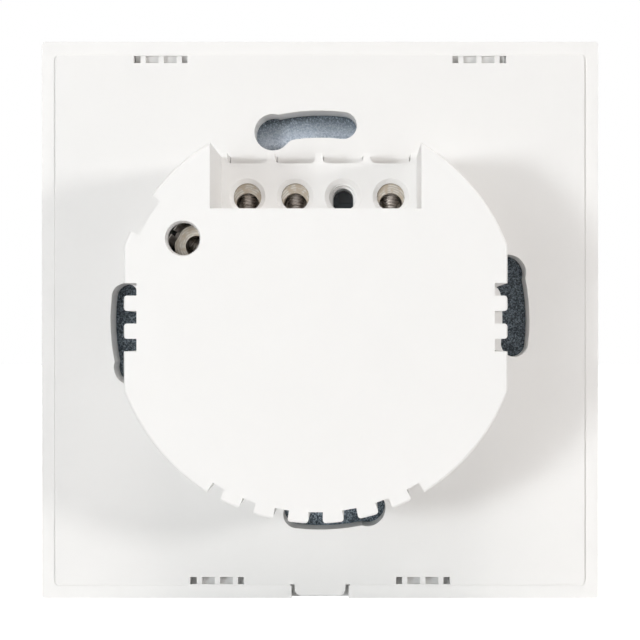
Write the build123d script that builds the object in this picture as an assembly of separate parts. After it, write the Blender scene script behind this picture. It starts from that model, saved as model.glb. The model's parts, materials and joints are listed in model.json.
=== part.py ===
from build123d import *
import os
from math import atan2, ceil, cos, degrees, hypot, radians, sin, sqrt

# Smart roller shutter switch for a round wall box, in millimetres.
# +X is right and +Z is up as seen from the room, and +Y points into the wall.
# y = 0 is the wall plane: the back face of the base plate. The origin is its centre.

# Front panel: glass, its backing film, the light diffuser and the white frame
PANEL_SIZE = 86.0
PANEL_CORNER_R = 0.4
PANEL_DEPTH = 10.0
GLASS_THICKNESS = 3.5
GLASS_BEVEL = 0.4
FILM_THICKNESS = 0.2
FILM_MARGIN = 1.0
FRAME_WALL = 1.95
FRAME_SETBACK = 0.4
FLANGE_WIDTH = 5.0
FLANGE_THICKNESS = 0.8
MARK_PITCH = 17.0
MARK_SIZE = 3.4
DIFFUSER_WIDTH = 13.0
DIFFUSER_THICKNESS = 0.4

# Base plate
PLATE_GAP = 0.25
PLATE_CORNER_R = 0.7
PLATE_THICKNESS = 2.0
SKIRT_INSET = 1.4
SKIRT_WALL = 1.2
SKIRT_GAP = 0.2
SEAT_DEPTH = 0.8
SEAT_GAP = 0.1
WINDOW_WIDTH = 8.3
WINDOW_DEPTH = 1.15
TOP_WINDOW_X = 24.6
BOTTOM_WINDOW_X = 15.9
CRUSH_RIBS = 3
CRUSH_RIB_PITCH = 2.8
CRUSH_RIB_WIDTH = 0.8
CRUSH_RIB_GAP = 0.1
TONGUE_WIDTH = 7.84
TONGUE_REACH = 1.7
TONGUE_CORNER_R = 1.0
TONGUE_GAP = 0.5

# Keyhole slots for the wall box screws, one a quarter turn
SLOT_COUNT = 4
SLOT_RADIUS = 30.25
SLOT_WIDTH = 4.2
SLOT_NARROW_ANGLE = 6.8
KEYHOLE_RADIUS = 29.9
KEYHOLE_R = 2.83
KEYHOLE_ANGLE = 14.1
SLOT_FILLET = 1.8
COLLAR_WALL = 1.0
COLLAR_GAP = 0.4

# Back housing: a round shell with two flats, comb notches and a terminal recess
BODY_R = 28.5
BODY_DEPTH = 25.0
BODY_FLAT_X = 26.64
BODY_WALL = 1.6
BODY_FLOOR = 2.0
BODY_EDGE_R = 0.4
COMB_COUNT = 7
COMB_PITCH_DEG = 10.0
COMB_WIDTH = 2.0
COMB_DEPTH = 1.6
COMB_ROUND = 0.5
SIDE_COMB_COUNT = 3
SIDE_COMB_PITCH = 3.87
SIDE_COMB_WIDTH = 1.75
SIDE_COMB_DEPTH = 1.8
SIDE_COMB_Z = 0.14
SCREW_NOTCH_LOW_DEG = 25.2
SCREW_NOTCH_HIGH_DEG = 37.0
SCREW_NOTCH_DEPTH = 1.55
BACKING_MARGIN = 1.4

# Terminal recess and its four cells
RECESS_HALF = 14.67
RECESS_FLOOR_Z = 15.23
TERMINAL_FACE_Y = 6.2
COVER_WALL = 1.1
COVER_TOP_Z = 23.5
RIB_TOP_Z = 25.1
RIB_WIDTH = 1.1
RIB_FILLET = 0.8
CELL_PITCH = 7.2
ENTRY_Z = 18.5
ENTRY_R = 2.1
ENTRY_FLARE_R = 2.75
ENTRY_FLARE_DEPTH = 0.6
WELL_WALL = 0.7
BLANK_R = 1.8
BLANK_STEP = 1.2
BLANK_SLOT_R = 1.53
BLANK_SLOT_Z = 18.45

# Pillar terminals and their clamp screws
BLOCK_WIDTH = 5.2
BLOCK_GAP = 0.1
BLOCK_FLOOR = 0.6
ROW_BORE_Z = 17.35
ROW_BORE_R = 1.7
ROW_BLOCK_BELOW = 0.85
ROW_BLOCK_ABOVE = 2.25
BORE_CHAMFER = 0.1
PIN_WIDTH = 0.9
PIN_PITCH = 3.2
PIN_LENGTH = 2.3
PIN_GAP = 0.05
SCREW_R = 1.25
SCREW_POINT_R = 0.95
SCREW_POINT_LENGTH = 0.9
SCREW_HEAD_R = 2.0
SCREW_HEAD_HEIGHT = 1.4
SCREW_SLOT_WIDTH = 0.7
SCREW_SLOT_DEPTH = 0.7
SCREW_GAP = 0.05
HEAD_GAP = 0.2
PAD_R = 0.8
PAD_THICKNESS = 0.3
PAD_STEM_R = 0.4
PAD_STEM_LENGTH = 0.6

# Side terminal, behind its own entry in the housing's deep face
SIDE_ANGLE_DEG = 31.0
SIDE_BORE_INSET = 8.66
SIDE_BORE_R = 1.45
SIDE_PILLAR_R = 3.1
SIDE_FLAT = 2.9
SIDE_FACE_Y = 20.0
SIDE_PILLAR_LENGTH = 8.0
SIDE_STEM_R = 1.5
SIDE_BORE_DEPTH = 7.0
SIDE_ENTRY_INSET = 7.0
SIDE_ENTRY_R = 2.25
SIDE_ENTRY_FLARE_R = 2.47
SIDE_ENTRY_FLARE_DEPTH = 1.0

# Circuit boards and their fixings
PAD_RING_HEIGHT = 1.0
PAD_RING_R = 6.0
PAD_RING_BORE_R = 3.6
TOUCH_BOARD_THICKNESS = 1.0
TOUCH_BOARD_R = 25.8
BOARD_SPACING = 1.7
POWER_BOARD_THICKNESS = 1.6
POWER_BOARD_GAP = 0.3
OPENING_R = 25.0
OPENING_FLAT_X = 23.3
OPENING_TOP_Z = 21.4
OPENING_RIM = 1.5
EAR_THICKNESS = 1.2
EAR_R = 3.2
CASE_SCREW_POINTS = [(-19.5, 12.0), (21.2, -1.0), (15.5, -16.5), (-15.5, -16.5)]
CASE_SCREW_R = 1.1
CASE_SCREW_LENGTH = 9.0
CASE_SCREW_HEAD_R = 1.9
CASE_SCREW_HEAD_HEIGHT = 1.0
CASE_POST_R = 2.3
TAB_RADIUS = 27.5
TAB_R = 2.8
TAB_SCREW_R = 0.8
TAB_SCREW_HEAD_R = 1.5
TAB_SCREW_HEAD_HEIGHT = 0.8
TAB_SCREW_LENGTH = 2.6
FIXING_GAP = 0.05
LED_SIZE = 1.6
LED_HEIGHT = 0.6
HEADER_X = 0.0
HEADER_Z = -20.6
HEADER_LENGTH = 12.0
HEADER_WIDTH = 2.5
RADIO_X = 14.0
RADIO_Z = -9.0
RADIO_WIDTH = 9.0
RADIO_LENGTH = 12.0
RADIO_BOARD_THICKNESS = 0.4
SHIELD_HEIGHT = 0.8
SHIELD_INSET = 0.6
SHIELD_WALL = 0.15
ANTENNA_LENGTH = 3.0
TOUCH_CHIP_SIZE = 4.0
TOUCH_CHIP_HEIGHT = 0.8
TOUCH_CHIP_X = -12.0
TOUCH_CHIP_Z = 4.0

# Relays: one drives the shutter up and the other drives it down
RELAY_PITCH = 11.2
RELAY_WIDTH = 10.2
RELAY_LENGTH = 18.8
RELAY_HEIGHT = 15.3
RELAY_WALL = 0.6
RELAY_BASE_THICKNESS = 1.2
COIL_R = 3.7
COIL_HEIGHT = 8.5
COIL_Z = -2.9
CORE_R = 1.3
COIL_GAP = 0.05
YOKE_THICKNESS = 1.0
YOKE_WIDTH = 7.6
YOKE_Z = -7.6
ARMATURE_THICKNESS = 1.0
ARMATURE_END_Z = 0.9
ARMATURE_GAP = 0.5
ARMATURE_LIFT = 0.05
BLADE_THICKNESS = 0.3
BLADE_WIDTH = 4.0
CONTACT_Z = 6.6
CONTACT_R = 1.1
CONTACT_HEIGHT = 0.8
CONTACT_GAP = 1.1

# Parts of the power supply, each as its centre and size on the power board
STACK_GAP = 0.4
TRANSFORMER_SIZE = (14.0, 12.0, 11.0)
TRANSFORMER_LEG = 3.0
WINDING_GAP = 0.2
BULK_CAPACITOR_X = 12.3
BULK_CAPACITOR_Z = -10.3
BULK_CAPACITOR_R = 3.9
BULK_CAPACITOR_HEIGHT = 14.0
CAPACITOR_VENT_DEPTH = 0.4
FILTER_CAPACITOR_AT = (-15.0, 1.0)
FILTER_CAPACITOR_SIZE = (5.6, 11.0, 13.0)
VARISTOR_AT = (13.6, -1.0)
VARISTOR_R = 4.5
VARISTOR_THICKNESS = 3.6
FUSE_AT = (-20.4, 2.0)
FUSE_R = 1.5
FUSE_LENGTH = 8.6
RECTIFIER_AT = (19.0, -8.0)
RECTIFIER_SIZE = (4.0, 2.5, 6.0)
INDUCTOR_AT = (-19.4, -8.3)
INDUCTOR_R = 2.1
INDUCTOR_FLANGE_R = 2.6
INDUCTOR_HEIGHT = 7.0
INDUCTOR_FLANGE = 0.8
OUTPUT_CAPACITOR_R = 2.4
OUTPUT_CAPACITOR_HEIGHT = 9.0
CONVERTER_INSET = 3.0
CONVERTER_ANGLE_DEG = -120.0
CONVERTER_SIZE = (2.6, 1.2, 3.2)

# Depths that follow from the sizes above
GLASS_FRONT_Y = -PANEL_DEPTH
GLASS_REAR_Y = GLASS_FRONT_Y + GLASS_THICKNESS
FILM_REAR_Y = GLASS_REAR_Y + FILM_THICKNESS
FLANGE_REAR_Y = FILM_REAR_Y + FLANGE_THICKNESS
DIFFUSER_REAR_Y = FILM_REAR_Y + DIFFUSER_THICKNESS
TOUCH_FRONT_Y = DIFFUSER_REAR_Y + PAD_RING_HEIGHT
TOUCH_REAR_Y = TOUCH_FRONT_Y + TOUCH_BOARD_THICKNESS
POWER_FRONT_Y = TOUCH_REAR_Y + BOARD_SPACING
POWER_REAR_Y = POWER_FRONT_Y + POWER_BOARD_THICKNESS
EAR_FRONT_Y = POWER_FRONT_Y - EAR_THICKNESS
CAVITY_DEEP_Y = BODY_DEPTH - BODY_FLOOR
COVER_FRONT_Y = TERMINAL_FACE_Y - COVER_WALL
BLOCK_DEEP_Y = COVER_FRONT_Y - BLOCK_GAP

# Outlines and cells that follow from the sizes above
PANEL_HALF = PANEL_SIZE / 2
FRAME_INNER = PANEL_HALF - FRAME_WALL
PLATE_HALF = FRAME_INNER - PLATE_GAP
ROW_BLOCK_BOTTOM_Z = ROW_BORE_Z - ROW_BORE_R - ROW_BLOCK_BELOW
ROW_BLOCK_TOP_Z = ROW_BORE_Z + ROW_BORE_R + ROW_BLOCK_ABOVE
WELL_FLOOR_Z = ROW_BLOCK_TOP_Z + BLOCK_GAP + WELL_WALL
CELL_HALF = (CELL_PITCH - RIB_WIDTH) / 2
SIDE_BORE_RADIUS = BODY_R - SIDE_BORE_INSET
SIDE_ENTRY_RADIUS = BODY_R - SIDE_ENTRY_INSET
COMB_CAVITY_R = BODY_R - COMB_DEPTH - BODY_WALL
OUTPUT_CAPACITOR_Z = STACK_GAP + OUTPUT_CAPACITOR_R - COMB_CAVITY_R
TRANSFORMER_Z = OUTPUT_CAPACITOR_Z + OUTPUT_CAPACITOR_R + STACK_GAP + TRANSFORMER_SIZE[2] / 2
RELAY_Z = RECESS_FLOOR_Z - BODY_WALL - STACK_GAP - RELAY_LENGTH / 2
RELAY_X = {"up": -RELAY_PITCH / 2, "down": RELAY_PITCH / 2}
CELL_X = {"line": 1.5 * CELL_PITCH, "up": 0.5 * CELL_PITCH, "down": -1.5 * CELL_PITCH}
BLANK_X = -0.5 * CELL_PITCH
ROW_SCREW_Y = COVER_FRONT_Y / 2
SIDE_SCREW_Y = SIDE_FACE_Y - SIDE_PILLAR_LENGTH / 2


# Shapes shared by several pieces
def rect(x0, x1, z0, z1):
    """Flat rectangle by its limits, in the wall plane's x and z."""
    return Pos((x0 + x1) / 2, (z0 + z1) / 2) * Rectangle(x1 - x0, z1 - z0)


def disc(x, z, r):
    """Flat disc in the wall plane's x and z."""
    return Pos(x, z) * Circle(r)


def slab(sketch, y0, y1):
    """Body of a flat outline between two depths."""
    return extrude(Plane.XZ.offset(-y1) * sketch, amount=y1 - y0)


def rod(x, z, r, y0, y1):
    """Round body along y."""
    return slab(disc(x, z, r), y0, y1)


def cone(x, z, r0, y0, r1, y1):
    """Tapered round body along y, with radius r0 at y0 and r1 at y1."""
    return Pos(x, (y0 + y1) / 2, z) * Rot(-90, 0, 0) * Cone(r0, r1, y1 - y0)


def brick(x0, x1, y0, y1, z0, z1):
    """Rectangular body by its limits."""
    return Pos((x0 + x1) / 2, (y0 + y1) / 2, (z0 + z1) / 2) * Box(x1 - x0, y1 - y0, z1 - z0)


def polar(radius, angle):
    """Point in the wall plane by its radius and its angle from +X towards +Z."""
    return radius * cos(radians(angle)), radius * sin(radians(angle))


def sector(r0, r1, low, high):
    """Piece of a flat ring between two angles from +X towards +Z."""
    reach = 2 * r1
    wedge = make_face(Polyline((0, 0), polar(reach, low), polar(reach, high), close=True))
    return (Circle(r1) - Circle(r0)) & wedge


def square(half, corner_r):
    """Centred square outline with rounded corners."""
    return RectangleRounded(2 * half, 2 * half, corner_r)


# Outlines
def keyhole(turn):
    """Arc slot with a round entry at one end and a round narrow end, turned to its quarter."""
    top = 90
    entry = disc(*polar(KEYHOLE_RADIUS, top - KEYHOLE_ANGLE), KEYHOLE_R)
    inner, outer = SLOT_RADIUS - SLOT_WIDTH / 2, SLOT_RADIUS + SLOT_WIDTH / 2
    lane = sector(inner, outer, top - KEYHOLE_ANGLE, top + SLOT_NARROW_ANGLE)
    end = disc(*polar(SLOT_RADIUS, top + SLOT_NARROW_ANGLE), SLOT_WIDTH / 2)
    outline = entry + lane + end
    throat = min(
        outline.vertices(),
        key=lambda v: abs(hypot(v.X, v.Y) - inner) + (0 if v.X > 0 else BODY_R),
    )
    outline = fillet(throat, SLOT_FILLET)
    return Rot(0, 0, turn) * outline


def slots():
    """All keyhole slots."""
    return [keyhole(360 / SLOT_COUNT * i) for i in range(SLOT_COUNT)]


def comb_angles():
    """Angles of the comb notches along the bottom, from +X towards +Z."""
    first = -90 - COMB_PITCH_DEG * (COMB_COUNT - 1) / 2
    return [first + COMB_PITCH_DEG * i for i in range(COMB_COUNT)]


def side_comb_heights():
    """Heights of the comb notches in each flat."""
    first = SIDE_COMB_Z - SIDE_COMB_PITCH * (SIDE_COMB_COUNT - 1) / 2
    return [first + SIDE_COMB_PITCH * i for i in range(SIDE_COMB_COUNT)]


def rib_bars(grow=0.0):
    """Outline of the ribs beside the terminal cells."""
    bars = Sketch()
    for i in [-2, -1, 0, 1, 2]:
        x, half = i * CELL_PITCH, RIB_WIDTH / 2 + grow
        bars += rect(x - half, x + half, RECESS_FLOOR_Z, RIB_TOP_Z + grow)
    return bars & rect(-RECESS_HALF - grow, RECESS_HALF + grow, 0, 2 * RIB_TOP_Z)


def body_outline(grow=0.0):
    """Plain outline of the housing: a circle with two flats, cut back between the terminal ribs."""
    r, flat = BODY_R + grow, BODY_FLAT_X + grow
    outline = Circle(r) & Rectangle(2 * flat, 2 * r)
    outline -= rect(-RECESS_HALF + grow, RECESS_HALF - grow, COVER_TOP_Z + grow, 2 * r)
    return outline + rib_bars(grow)


def notched_outline():
    """Outline of the housing with the comb notches and the notch for the side terminal's screw."""
    outline = Circle(BODY_R) & Rectangle(2 * BODY_FLAT_X, 2 * BODY_R)
    for angle in comb_angles():
        outline -= Rot(0, 0, angle) * Pos(BODY_R, 0) * Rectangle(2 * COMB_DEPTH, COMB_WIDTH)
    for z in side_comb_heights():
        for side in (-1, 1):
            outline -= Pos(side * BODY_FLAT_X, z) * Rectangle(2 * SIDE_COMB_DEPTH, SIDE_COMB_WIDTH)
    last_comb = COMB_PITCH_DEG * (COMB_COUNT - 1) / 2
    last_side = SIDE_COMB_PITCH * (SIDE_COMB_COUNT - 1) / 2
    tips = []
    for v in outline.vertices():
        on_rim = hypot(v.X, v.Y) > BODY_R - COMB_DEPTH / 2
        from_bottom = abs(degrees(atan2(v.X, -v.Y)))
        on_flat = abs(abs(v.X) - BODY_FLAT_X) < SIDE_COMB_DEPTH / 2
        if on_rim and from_bottom < last_comb:
            tips.append(v)
        elif on_flat and abs(v.Y - SIDE_COMB_Z) < last_side:
            tips.append(v)
    outline = fillet(tips, COMB_ROUND)
    notch_floor = BODY_R - SCREW_NOTCH_DEPTH
    return outline - sector(notch_floor, 2 * BODY_R, SCREW_NOTCH_LOW_DEG, SCREW_NOTCH_HIGH_DEG)


def cavity_outline():
    """Outline of the space inside the housing, backed off behind every notch and the recess."""
    wall_r, wall_x = BODY_R - BODY_WALL, BODY_FLAT_X - BODY_WALL
    outline = Circle(wall_r) & Rectangle(2 * wall_x, 2 * wall_r)
    margin = degrees((COMB_WIDTH / 2 + BACKING_MARGIN) / BODY_R)
    combs = comb_angles()
    outline -= sector(COMB_CAVITY_R, 2 * BODY_R, combs[0] - margin, combs[-1] + margin)
    notch_r = BODY_R - SCREW_NOTCH_DEPTH - BODY_WALL
    notch = (SCREW_NOTCH_LOW_DEG - margin, SCREW_NOTCH_HIGH_DEG + margin)
    outline -= sector(notch_r, 2 * BODY_R, *notch)
    heights = side_comb_heights()
    low = heights[0] - SIDE_COMB_WIDTH / 2 - BACKING_MARGIN
    high = heights[-1] + SIDE_COMB_WIDTH / 2 + BACKING_MARGIN
    comb_x = BODY_FLAT_X - SIDE_COMB_DEPTH - BODY_WALL
    outline -= rect(comb_x, BODY_R, low, high)
    outline -= rect(-BODY_R, -comb_x, low, high)
    recess_x = RECESS_HALF + BODY_WALL
    return outline - rect(-recess_x, recess_x, RECESS_FLOOR_Z - BODY_WALL, 2 * BODY_R)


def opening_outline(grow=0.0):
    """Outline of the base plate's opening, which the power board lies in."""
    r, flat, top = OPENING_R + grow, OPENING_FLAT_X + grow, OPENING_TOP_Z + grow
    return Circle(r) & rect(-flat, flat, -r, top)


def tongue(grow, reach):
    """Outline of the pry tongue below the plate, or of the notch that it lies in."""
    half = TONGUE_WIDTH / 2 + grow
    bar = rect(-half, half, -PLATE_HALF - reach, -PLATE_HALF + PLATE_CORNER_R)
    corners = bar.vertices().sort_by(Axis.Y)[:2]
    return fillet(corners, TONGUE_CORNER_R + grow)


def windows():
    """Centres of the snap windows in the plate's edge, as x and the side that each one is on."""
    return [(x * s, 1) for x in [TOP_WINDOW_X] for s in (-1, 1)] + [
        (x * s, -1) for x in [BOTTOM_WINDOW_X] for s in (-1, 1)
    ]


# Front panel
def mark(index):
    """Touch mark: a triangle pointing up, a square, and a triangle pointing down."""
    half = MARK_SIZE / 2
    if index == 0:
        shape = Rectangle(MARK_SIZE, MARK_SIZE)
    else:
        tip = (0, index * half)
        base = -index * half
        shape = make_face(Polyline((-MARK_SIZE * 0.6, base), (MARK_SIZE * 0.6, base), tip, close=True))
    return Pos(0, index * MARK_PITCH) * shape


def glass_panel():
    """Square glass plate with a small bevel round its front."""
    plate = slab(square(PANEL_HALF, PANEL_CORNER_R), GLASS_FRONT_Y, GLASS_REAR_Y)
    front = plate.faces().sort_by(Axis.Y)[0]
    return chamfer(front.edges(), GLASS_BEVEL)


def glass_backing_film():
    """Dark film behind the glass, open at the three touch marks."""
    outline = square(PANEL_HALF - FILM_MARGIN, PANEL_CORNER_R)
    for index in (-1, 0, 1):
        outline -= mark(index)
    return slab(outline, GLASS_REAR_Y, FILM_REAR_Y)


def light_diffuser():
    """Milky strip behind the three touch marks."""
    half = MARK_PITCH + PAD_RING_R
    return slab(rect(-DIFFUSER_WIDTH / 2, DIFFUSER_WIDTH / 2, -half, half), FILM_REAR_Y, DIFFUSER_REAR_Y)


def panel_frame():
    """White frame glued behind the glass: a rim, a flange, crush ribs and the pry notch."""
    outer, inner = square(PANEL_HALF, PANEL_CORNER_R), square(FRAME_INNER, PLATE_CORNER_R)
    bore = square(FRAME_INNER - FLANGE_WIDTH, PLATE_CORNER_R)
    frame = slab(outer - inner, FILM_REAR_Y, -FRAME_SETBACK)
    frame += slab(outer - bore, FILM_REAR_Y, FLANGE_REAR_Y)
    tip = PLATE_HALF - WINDOW_DEPTH + CRUSH_RIB_GAP
    first = -CRUSH_RIB_PITCH * (CRUSH_RIBS - 1) / 2
    for x, side in windows():
        for i in range(CRUSH_RIBS):
            at = x + first + CRUSH_RIB_PITCH * i
            low, high = sorted((side * tip, side * (FRAME_INNER + FRAME_WALL / 2)))
            rib = rect(at - CRUSH_RIB_WIDTH / 2, at + CRUSH_RIB_WIDTH / 2, low, high)
            frame += slab(rib, FLANGE_REAR_Y - FLANGE_THICKNESS / 2, -2 * FRAME_SETBACK)
    notch = tongue(TONGUE_GAP, PLATE_GAP + FRAME_WALL + TONGUE_REACH)
    return frame - slab(notch, -PLATE_THICKNESS - TONGUE_GAP, 0)


# Base plate and housing
def base_plate():
    """Square white plate with keyhole slots, a skirt, board rim, screw ears and the pry tongue."""
    outline = square(PLATE_HALF, PLATE_CORNER_R) + tongue(0, TONGUE_REACH)
    for x, side in windows():
        low, high = sorted((side * (PLATE_HALF - WINDOW_DEPTH), side * 2 * PLATE_HALF))
        outline -= rect(x - WINDOW_WIDTH / 2, x + WINDOW_WIDTH / 2, low, high)
    plate = slab(outline, -PLATE_THICKNESS, 0)
    skirt_half = PLATE_HALF - SKIRT_INSET
    skirt = square(skirt_half, PLATE_CORNER_R) - square(skirt_half - SKIRT_WALL, PLATE_CORNER_R)
    plate += slab(skirt, FLANGE_REAR_Y + SKIRT_GAP, -PLATE_THICKNESS)
    for outline in slots():
        plate += slab(offset(outline, COLLAR_WALL), FILM_REAR_Y + COLLAR_GAP, -PLATE_THICKNESS)
    rim = opening_outline(OPENING_RIM)
    plate += slab(rim, TOUCH_REAR_Y, -PLATE_THICKNESS)
    for angle in tab_angles():
        plate += rod(*polar(TAB_RADIUS, angle), TAB_R, TOUCH_REAR_Y, -PLATE_THICKNESS)
    plate -= slab(opening_outline(), TOUCH_REAR_Y, 0)
    for x, z in CASE_SCREW_POINTS:
        plate += slab(disc(x, z, EAR_R) & rim, EAR_FRONT_Y, POWER_FRONT_Y)
        plate -= rod(x, z, CASE_SCREW_R + FIXING_GAP, EAR_FRONT_Y, POWER_FRONT_Y)
    plate -= slab(body_outline(SEAT_GAP), -SEAT_DEPTH, 0)
    for outline in slots():
        plate -= slab(outline, FILM_REAR_Y, 0)
    for angle in tab_angles():
        plate -= rod(*polar(TAB_RADIUS, angle), TAB_SCREW_R + FIXING_GAP, TOUCH_REAR_Y, -PLATE_THICKNESS)
    return plate


def cover_outline():
    """Face of the terminal recess: a straight top edge with a rib beside every cell."""
    outline = rect(-RECESS_HALF, RECESS_HALF, RECESS_FLOOR_Z - BODY_WALL, COVER_TOP_Z)
    outline += rib_bars()
    feet = [v for v in outline.vertices() if abs(v.Y - COVER_TOP_Z) < RIB_WIDTH / 10]
    return fillet(feet, RIB_FILLET)


def terminal_cells():
    """What is cut from the terminal recess: entries, pockets for the blocks and screw wells."""
    cuts = []
    for x in list(CELL_X.values()) + [BLANK_X]:
        flare_y = TERMINAL_FACE_Y - ENTRY_FLARE_DEPTH
        cuts.append(rod(x, ENTRY_Z, ENTRY_R, COVER_FRONT_Y, TERMINAL_FACE_Y))
        cuts.append(cone(x, ENTRY_Z, ENTRY_R, flare_y, ENTRY_FLARE_R, TERMINAL_FACE_Y))
        well = (x - CELL_HALF, x + CELL_HALF, 0, COVER_FRONT_Y, WELL_FLOOR_Z, 2 * RIB_TOP_Z)
        cuts.append(brick(*well))
    half = BLOCK_WIDTH / 2 + BLOCK_GAP
    low, high = ROW_BLOCK_BOTTOM_Z - BLOCK_GAP, ROW_BLOCK_TOP_Z + BLOCK_GAP
    for x in CELL_X.values():
        cuts.append(brick(x - half, x + half, -SEAT_DEPTH, COVER_FRONT_Y, low, high))
        head = Cylinder(SCREW_HEAD_R + HEAD_GAP, 2 * WELL_WALL)
        cuts.append(Pos(x, ROW_SCREW_Y, WELL_FLOOR_Z) * head)
    step_y = COVER_FRONT_Y - BLANK_STEP
    ring = rect(BLANK_X - BLANK_R, BLANK_X + BLANK_R, ROW_BLOCK_BOTTOM_Z, ENTRY_Z)
    cuts.append(slab(disc(BLANK_X, ENTRY_Z, BLANK_R) + ring, step_y, COVER_FRONT_Y))
    lane = rect(BLANK_X - BLANK_SLOT_R, BLANK_X + BLANK_SLOT_R, ROW_BLOCK_BOTTOM_Z, BLANK_SLOT_Z)
    cuts.append(slab(disc(BLANK_X, BLANK_SLOT_Z, BLANK_SLOT_R) + lane, -SEAT_DEPTH, step_y))
    return cuts


def back_housing():
    """White shell that goes into the wall box and carries the terminals."""
    housing = slab(Circle(BODY_R) & Rectangle(2 * BODY_FLAT_X, 2 * BODY_R), 0, BODY_DEPTH)
    deep_face = housing.faces().sort_by(Axis.Y)[-1]
    housing = fillet(deep_face.edges(), BODY_EDGE_R) & slab(notched_outline(), 0, BODY_DEPTH)
    flange = slab(body_outline(), -SEAT_DEPTH, 0)
    for outline in slots():
        flange -= slab(offset(outline, SEAT_GAP), -SEAT_DEPTH, 0)
    housing += flange
    housing -= slab(cavity_outline(), -SEAT_DEPTH, CAVITY_DEEP_Y)
    recess = rect(-RECESS_HALF, RECESS_HALF, RECESS_FLOOR_Z, 2 * BODY_R)
    housing -= slab(recess, 0, BODY_DEPTH)
    housing += slab(cover_outline(), 0, TERMINAL_FACE_Y)
    for x, z in CASE_SCREW_POINTS:
        housing += rod(x, z, CASE_POST_R, POWER_REAR_Y, CAVITY_DEEP_Y)
        tip_y = EAR_FRONT_Y + CASE_SCREW_LENGTH + FIXING_GAP
        housing -= rod(x, z, CASE_SCREW_R + FIXING_GAP, POWER_REAR_Y, tip_y)
    for cut in terminal_cells():
        housing -= cut
    x, z = polar(SIDE_ENTRY_RADIUS, SIDE_ANGLE_DEG)
    flare_y = BODY_DEPTH - SIDE_ENTRY_FLARE_DEPTH
    housing -= rod(x, z, SIDE_ENTRY_R, CAVITY_DEEP_Y, BODY_DEPTH)
    housing -= cone(x, z, SIDE_ENTRY_R, flare_y, SIDE_ENTRY_FLARE_R, BODY_DEPTH)
    driver = Cylinder(SCREW_HEAD_R + HEAD_GAP, BODY_R, align=(Align.CENTER, Align.CENTER, Align.MIN))
    housing -= side_place() * Pos(0, 0, SIDE_FLAT) * driver
    return housing - slab(opening_outline(), -SEAT_DEPTH, POWER_REAR_Y)


# Terminals
def row_place(x):
    """Frame of a row terminal's clamp: its origin on the wire bore's axis, +Z along the screw."""
    return Pos(x, ROW_SCREW_Y, ROW_BORE_Z)


def side_place():
    """Frame of the side terminal's clamp, with the screw along the body's radius."""
    x, z = polar(SIDE_BORE_RADIUS, SIDE_ANGLE_DEG)
    return Pos(x, SIDE_SCREW_Y, z) * Rot(0, 90 - SIDE_ANGLE_DEG, 0)


def pad_rest(bore_r):
    """Height of the pad's face below the wire bore's axis with the screw fully in."""
    return -sqrt(bore_r**2 - PAD_R**2) + SCREW_GAP


def clamp_screw(bore_r, flat):
    """Slotted clamp screw in its clamp's frame, fully in, its head just clear of the block."""
    tip = pad_rest(bore_r) + PAD_THICKNESS
    under = flat + SCREW_GAP
    up = (Align.CENTER, Align.CENTER, Align.MIN)
    shoulder = tip + SCREW_POINT_LENGTH
    screw = Pos(0, 0, tip) * Cylinder(SCREW_POINT_R, SCREW_POINT_LENGTH, align=up)
    screw += Pos(0, 0, shoulder) * Cylinder(SCREW_R, under - shoulder, align=up)
    screw += Pos(0, 0, under) * Cylinder(SCREW_HEAD_R, SCREW_HEAD_HEIGHT, align=up)
    slot = Box(SCREW_SLOT_WIDTH, 2 * SCREW_HEAD_R, 2 * SCREW_SLOT_DEPTH)
    screw -= Pos(0, 0, under + SCREW_HEAD_HEIGHT) * slot
    socket = Cylinder(PAD_STEM_R + SCREW_GAP, PAD_STEM_LENGTH + SCREW_GAP, align=up)
    return screw - Pos(0, 0, tip) * socket


def clamp_pad(bore_r):
    """Pressure pad that turns on the screw's tip and presses on the wire, in its clamp's frame."""
    face = pad_rest(bore_r)
    up = (Align.CENTER, Align.CENTER, Align.MIN)
    pad = Pos(0, 0, face) * Cylinder(PAD_R, PAD_THICKNESS, align=up)
    return pad + Pos(0, 0, face + PAD_THICKNESS) * Cylinder(PAD_STEM_R, PAD_STEM_LENGTH, align=up)


def solder_pins(x, z, grow=0.0):
    """Two square pins below a terminal, or the holes for them."""
    half = PIN_WIDTH / 2 + grow
    sketch = rect(x - PIN_PITCH / 2 - half, x - PIN_PITCH / 2 + half, z - half, z + half)
    return sketch + rect(x + PIN_PITCH / 2 - half, x + PIN_PITCH / 2 + half, z - half, z + half)


def row_terminal(x):
    """Nickel block with a blind wire bore from behind and a clamp screw hole from above."""
    half = BLOCK_WIDTH / 2
    block = brick(x - half, x + half, POWER_REAR_Y, BLOCK_DEEP_Y, ROW_BLOCK_BOTTOM_Z, ROW_BLOCK_TOP_Z)
    block += slab(solder_pins(x, ROW_BORE_Z), POWER_REAR_Y - PIN_LENGTH, POWER_REAR_Y)
    block -= rod(x, ROW_BORE_Z, ROW_BORE_R, POWER_REAR_Y + BLOCK_FLOOR, BLOCK_DEEP_Y)
    mouth = (ROW_BORE_R, BLOCK_DEEP_Y - BORE_CHAMFER, ROW_BORE_R + BORE_CHAMFER, BLOCK_DEEP_Y)
    block -= cone(x, ROW_BORE_Z, *mouth)
    thread = Cylinder(SCREW_R + SCREW_GAP, BODY_R, align=(Align.CENTER, Align.CENTER, Align.MIN))
    return block - row_place(x) * thread


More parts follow.
